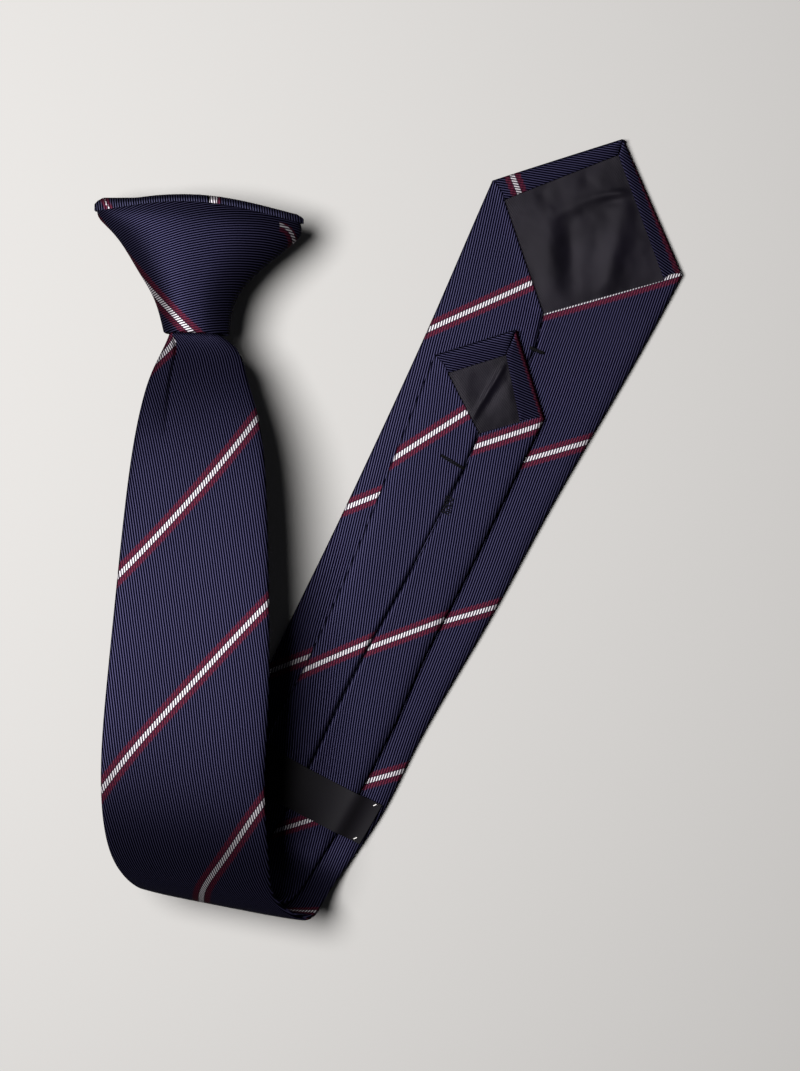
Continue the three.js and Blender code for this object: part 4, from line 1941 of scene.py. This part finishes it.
@dataclass(frozen=True)
class Satin:
    """Black satin lining, woven of smooth threads.

    The eye sees a soft dark gloss, a little violet, that follows the low folds. The
    threads are drawn 0.36 and 0.5 mm wide, coarser than real ones, so that they show.
    """

    colour: str = "#060509"
    # A little paler, in soft random clouds over the lining.
    paler_patch_colour: str = "#0b090f"
    thread_mm: float = 0.36
    cross_mm: float = 0.5
    clouds_per_m: float = 60.0
    folds_per_m: float = 75.0
    fold_mm: float = 1.8
    roughness: float = 0.42
    gloss: float = 0.085
    tint: tuple[float, float, float, float] = (0.86, 0.8, 0.9, 1.0)

    def material(self) -> bpy.types.Material:
        """Makes the material.

        Returns:
            The material.
        """
        f = Finish("black satin lining")
        cloth = f.add("SeparateXYZ", (f.add("UVMap", uv_map="ribs"),))
        along = f.add("Math", (cloth, 2 * math.pi / self.thread_mm), operation="MULTIPLY")
        aside = f.add("Math", (cloth.outputs["Y"], 2 * math.pi / self.cross_mm), operation="MULTIPLY")
        threads = f.add("Math", (along,), operation="SINE")
        crossing = f.add("Math", (aside,), operation="SINE")
        both = f.add("Math", (threads, crossing), operation="ADD")
        weave = f.add("Math", (both, 0.25, 0.5), operation="MULTIPLY_ADD")
        place = f.add("TexCoord").outputs["Object"]
        clouds = f.add("TexNoise", {"Vector": place, "Scale": self.clouds_per_m})
        # Paler in soft random clouds.
        paler_patches = f.add("MapRange", (clouds, 0.35, 0.7), interpolation_type="SMOOTHSTEP")
        colours = {0: paler_patches, 6: linear(self.colour), 7: linear(self.paler_patch_colour)}
        low = f.add("TexNoise", {"Vector": place, "Scale": self.folds_per_m, "Detail": 2.5})
        grain = f.add("Math", (weave, 0.05), operation="MULTIPLY")
        folds = f.add("Math", (grain, low), operation="ADD")
        relief = {"Height": folds, "Distance": self.fold_mm * MM, "Strength": 0.6}
        return f.close({
            "Base Color": f.add("Mix", colours, data_type="RGBA").outputs[2],
            "Roughness": self.roughness,
            "Specular IOR Level": self.gloss,
            "Specular Tint": self.tint,
            "Normal": f.add("Bump", relief),
        })


@dataclass(frozen=True)
class LabelWeave:
    """Black woven label, close and even: the eye sees it a little duller than the lining.

    Its slanted threads are drawn 0.42 mm apart, coarser than real ones, so that they show.
    """

    colour: str = "#0a090b"
    ridge: str = "#141216"
    thread_mm: float = 0.42
    slant: float = 0.35
    relief_mm: float = 0.04
    roughness: float = 0.6
    gloss: float = 0.05

    def material(self) -> bpy.types.Material:
        """Makes the material.

        Returns:
            The material.
        """
        f = Finish("black woven label")
        cloth = f.add("SeparateXYZ", (f.add("UVMap", uv_map="ribs"),))
        lean = f.add("Math", (cloth.outputs["Y"], self.slant), operation="MULTIPLY")
        across = f.add("Math", (cloth, lean), operation="ADD")
        phase = f.add("Math", (across, 2 * math.pi / self.thread_mm), operation="MULTIPLY")
        turn = f.add("Math", (phase,), operation="SINE")
        threads = f.add("Math", (turn, 0.5, 0.5), operation="MULTIPLY_ADD")
        colours = {0: threads, 6: linear(self.colour), 7: linear(self.ridge)}
        relief = {"Height": threads, "Distance": self.relief_mm * MM, "Strength": 0.6}
        return f.close({
            "Base Color": f.add("Mix", colours, data_type="RGBA").outputs[2],
            "Roughness": self.roughness,
            "Specular IOR Level": self.gloss,
            "Normal": f.add("Bump", relief),
        })


@dataclass(frozen=True)
class PlainFinish:
    """A surface of one colour, with a sheen that is a little uneven, as from handling."""

    name: str
    colour: str
    roughness: float
    metal: float = 0.0
    gloss: float = 0.5
    uneven: float = 0.06
    patches_per_m: float = 1400.0

    def material(self) -> bpy.types.Material:
        """Makes the material.

        Returns:
            The material.
        """
        f = Finish(self.name)
        place = f.add("TexCoord").outputs["Object"]
        patches = f.add("TexNoise", {"Vector": place, "Scale": self.patches_per_m})
        low, high = self.roughness - self.uneven, self.roughness + self.uneven
        return f.close({
            "Base Color": linear(self.colour),
            "Metallic": self.metal,
            "Roughness": f.add("Mix", {0: patches, 2: low, 3: high}, data_type="FLOAT"),
            "Specular IOR Level": self.gloss,
        })


SILK = RibCloth()

# The rolls are the same silk where it is turned over, with a darker ground and paler ridges: painted
# shade in the grooves and a painted highlight on the ribs, for the light that falls across the tight
# rolls.
PAINTED_LIT_ROLL_SILK = RibCloth(
    name="navy ribbed silk, painted lit on the rolls", ground="#010103", ridge="#333247", crown_from=0.6
)

# Spun cotton: dull, so that a stitch shows as a soft dark line on the silk.
BLACK_THREAD = PlainFinish("black sewing thread", "#040405", 0.7, gloss=0.08)

# The same in a pale colour: small light dots at the label's corners.
PALE_THREAD = PlainFinish("pale sewing thread", "#d8d4d2", 0.7)

# Rolled steel strip, tumbled and not polished: a soft grey shine.
CLIP_STEEL = PlainFinish("clip steel", "#a9abb0", 0.35, metal=1.0)

# Matt paint: it takes a soft shadow and shows no reflection.
PALE_FLOOR = PlainFinish("pale matt floor", "#9a9896", 0.9, gloss=0.2)


class Tie:
    """The clip-on tie with all its pieces."""

    def __init__(self) -> None:
        """Lays the surface that everything rests on."""
        self.band = Band(BLADE_EDGES)
        self.cloth = SILK.material()
        # The rolls' copy of the silk: painted shade in its grooves and a painted highlight on its ribs.
        self.painted_lit_roll_cloth = PAINTED_LIT_ROLL_SILK.material()
        self.satin = Satin().material()
        self.label_weave = LabelWeave().material()
        self.black_thread = BLACK_THREAD.material()
        self.pale_thread = PALE_THREAD.material()
        self.steel = CLIP_STEEL.material()

    def _take(self, obj: bpy.types.Object, node: Optional[str]) -> bpy.types.Object:
        """Gives a piece its place in the frame and reports it.

        Args:
            obj: The piece.
            node: The solid it stands for, if any.

        Returns:
            The piece.
        """
        if node is not None:
            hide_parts(node)
        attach(obj, "root")
        log.info("%s: %d faces", obj.name, len(obj.data.polygons))
        return obj

    def build(self) -> None:
        """Makes every piece."""
        blade = FoldedBand("front_blade_cloth", self.band, BLADE, BLADE_LIES).build(self.cloth)
        self._take(blade, "front_blade")
        tail = FoldedBand("tail_blade_cloth", self.band, TAIL, TAIL_LIES).build(self.cloth)
        self._take(tail, "tail_blade")
        for name, node, cut, creases, flat in (
            ("blade_lining_satin", "blade_tip_lining", BLADE, BLADE_CREASES, (0.044, 0.044)),
            ("tail_lining_satin", "tail_tip_lining", TAIL, TAIL_CREASES, (0.022, 0.019)),
        ):
            lining = TipLining(name, self.band, cut, creases).build(self.satin)
            self._take(lining, node)
        label = KeeperLabel(self.band)
        strip = label.build(self.label_weave)
        self._take(strip, "keeper_label")
        knot = KnotWrap(KNOT_ROWS).build(self.cloth)
        self._take(knot, "knot_wrap")
        for name, node, rows, stripe in (
            ("knot_roll_left_cloth", "knot_roll_left", ROLL_LEFT, LEFT_ROLL_STRIPE),
            ("knot_roll_right_cloth", "knot_roll_right", ROLL_RIGHT, RIGHT_ROLL_STRIPE),
        ):
            # The rolls take the silk copy with painted shade and painted highlight on its ribs.
            roll = KnotRoll(name, rows, stripe).build(self.painted_lit_roll_cloth)
            self._take(roll, node)
        self._take(CollarClip().build(self.steel), "collar_clip")
        stitches = Stitches(self.band, label)
        for obj in (stitches.bar_tack(self.black_thread), stitches.tail_thread(self.black_thread)):
            self._take(obj, None)
        self._take(stitches.label_corners(self.pale_thread), None)


@dataclass(frozen=True)
class Studio:
    """Pale floor, one soft lamp, a weak room light and the camera straight above.

    Lengths are in metres where no unit is named. The view has the photograph's
    framing: 1071 rows of 0.3375 mm at the height of the floor.
    """

    distance: float = 0.9
    aim: tuple[float, float] = (0.0032, -0.0022)
    rows: int = 1071
    row_mm: float = 0.3375
    film_mm: float = 36.0
    lamp_place: tuple[float, float, float] = (-0.37, 0.1, 0.87)
    lamp_size: float = 0.52
    lamp_power: float = 23.0
    room_colour: tuple[float, float, float, float] = (0.9, 0.93, 1.0, 1.0)
    room_light: float = 0.03
    floor_size: float = 6.0
    floor_height: float = -0.0002

    def build(self) -> None:
        """Sets the studio up."""
        bpy.ops.object.select_all(action="DESELECT")
        bpy.ops.mesh.primitive_plane_add(size=self.floor_size, location=(0, 0, self.floor_height))
        floor = bpy.context.object
        floor.name = "floor"
        floor.data.materials.append(PALE_FLOOR.material())
        self._lamp()
        self._world()
        self._camera()
        view = bpy.context.scene.view_settings
        view.view_transform = "Standard"
        view.look = "None"
        view.exposure = 0.0

    def _lamp(self) -> None:
        """Hangs one soft round lamp that looks at the tie."""
        bpy.ops.object.light_add(type="AREA", location=self.lamp_place)
        lamp = bpy.context.object
        lamp.name = "key"
        lamp.data.shape = "DISK"
        lamp.data.size = self.lamp_size
        lamp.data.energy = self.lamp_power
        lamp.rotation_euler = (-Vector(self.lamp_place)).to_track_quat("-Z", "Y").to_euler()

    def _world(self) -> None:
        """Lights the room evenly and weakly."""
        world = bpy.data.worlds.new("soft room")
        world.use_nodes = True
        bpy.context.scene.world = world
        back = world.node_tree.nodes["Background"]
        back.inputs[0].default_value = self.room_colour
        back.inputs[1].default_value = self.room_light

    def _camera(self) -> None:
        """Hangs the camera over the table."""
        bpy.ops.object.camera_add(location=(*self.aim, self.distance), rotation=(0, 0, 0))
        camera = bpy.context.object
        camera.name = "camera"
        camera.data.sensor_width = self.film_mm
        camera.data.lens = self.film_mm * self.distance / (self.rows * self.row_mm * MM)
        camera.data.dof.use_dof = False
        camera.data.clip_start = 0.05
        camera.data.clip_end = 20.0
        bpy.context.scene.camera = camera


def main() -> None:
    """Builds the scene."""
    logging.basicConfig(level=logging.INFO)
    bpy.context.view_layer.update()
    Tie().build()
    Studio().build()


if __name__ == "__main__":
    main()
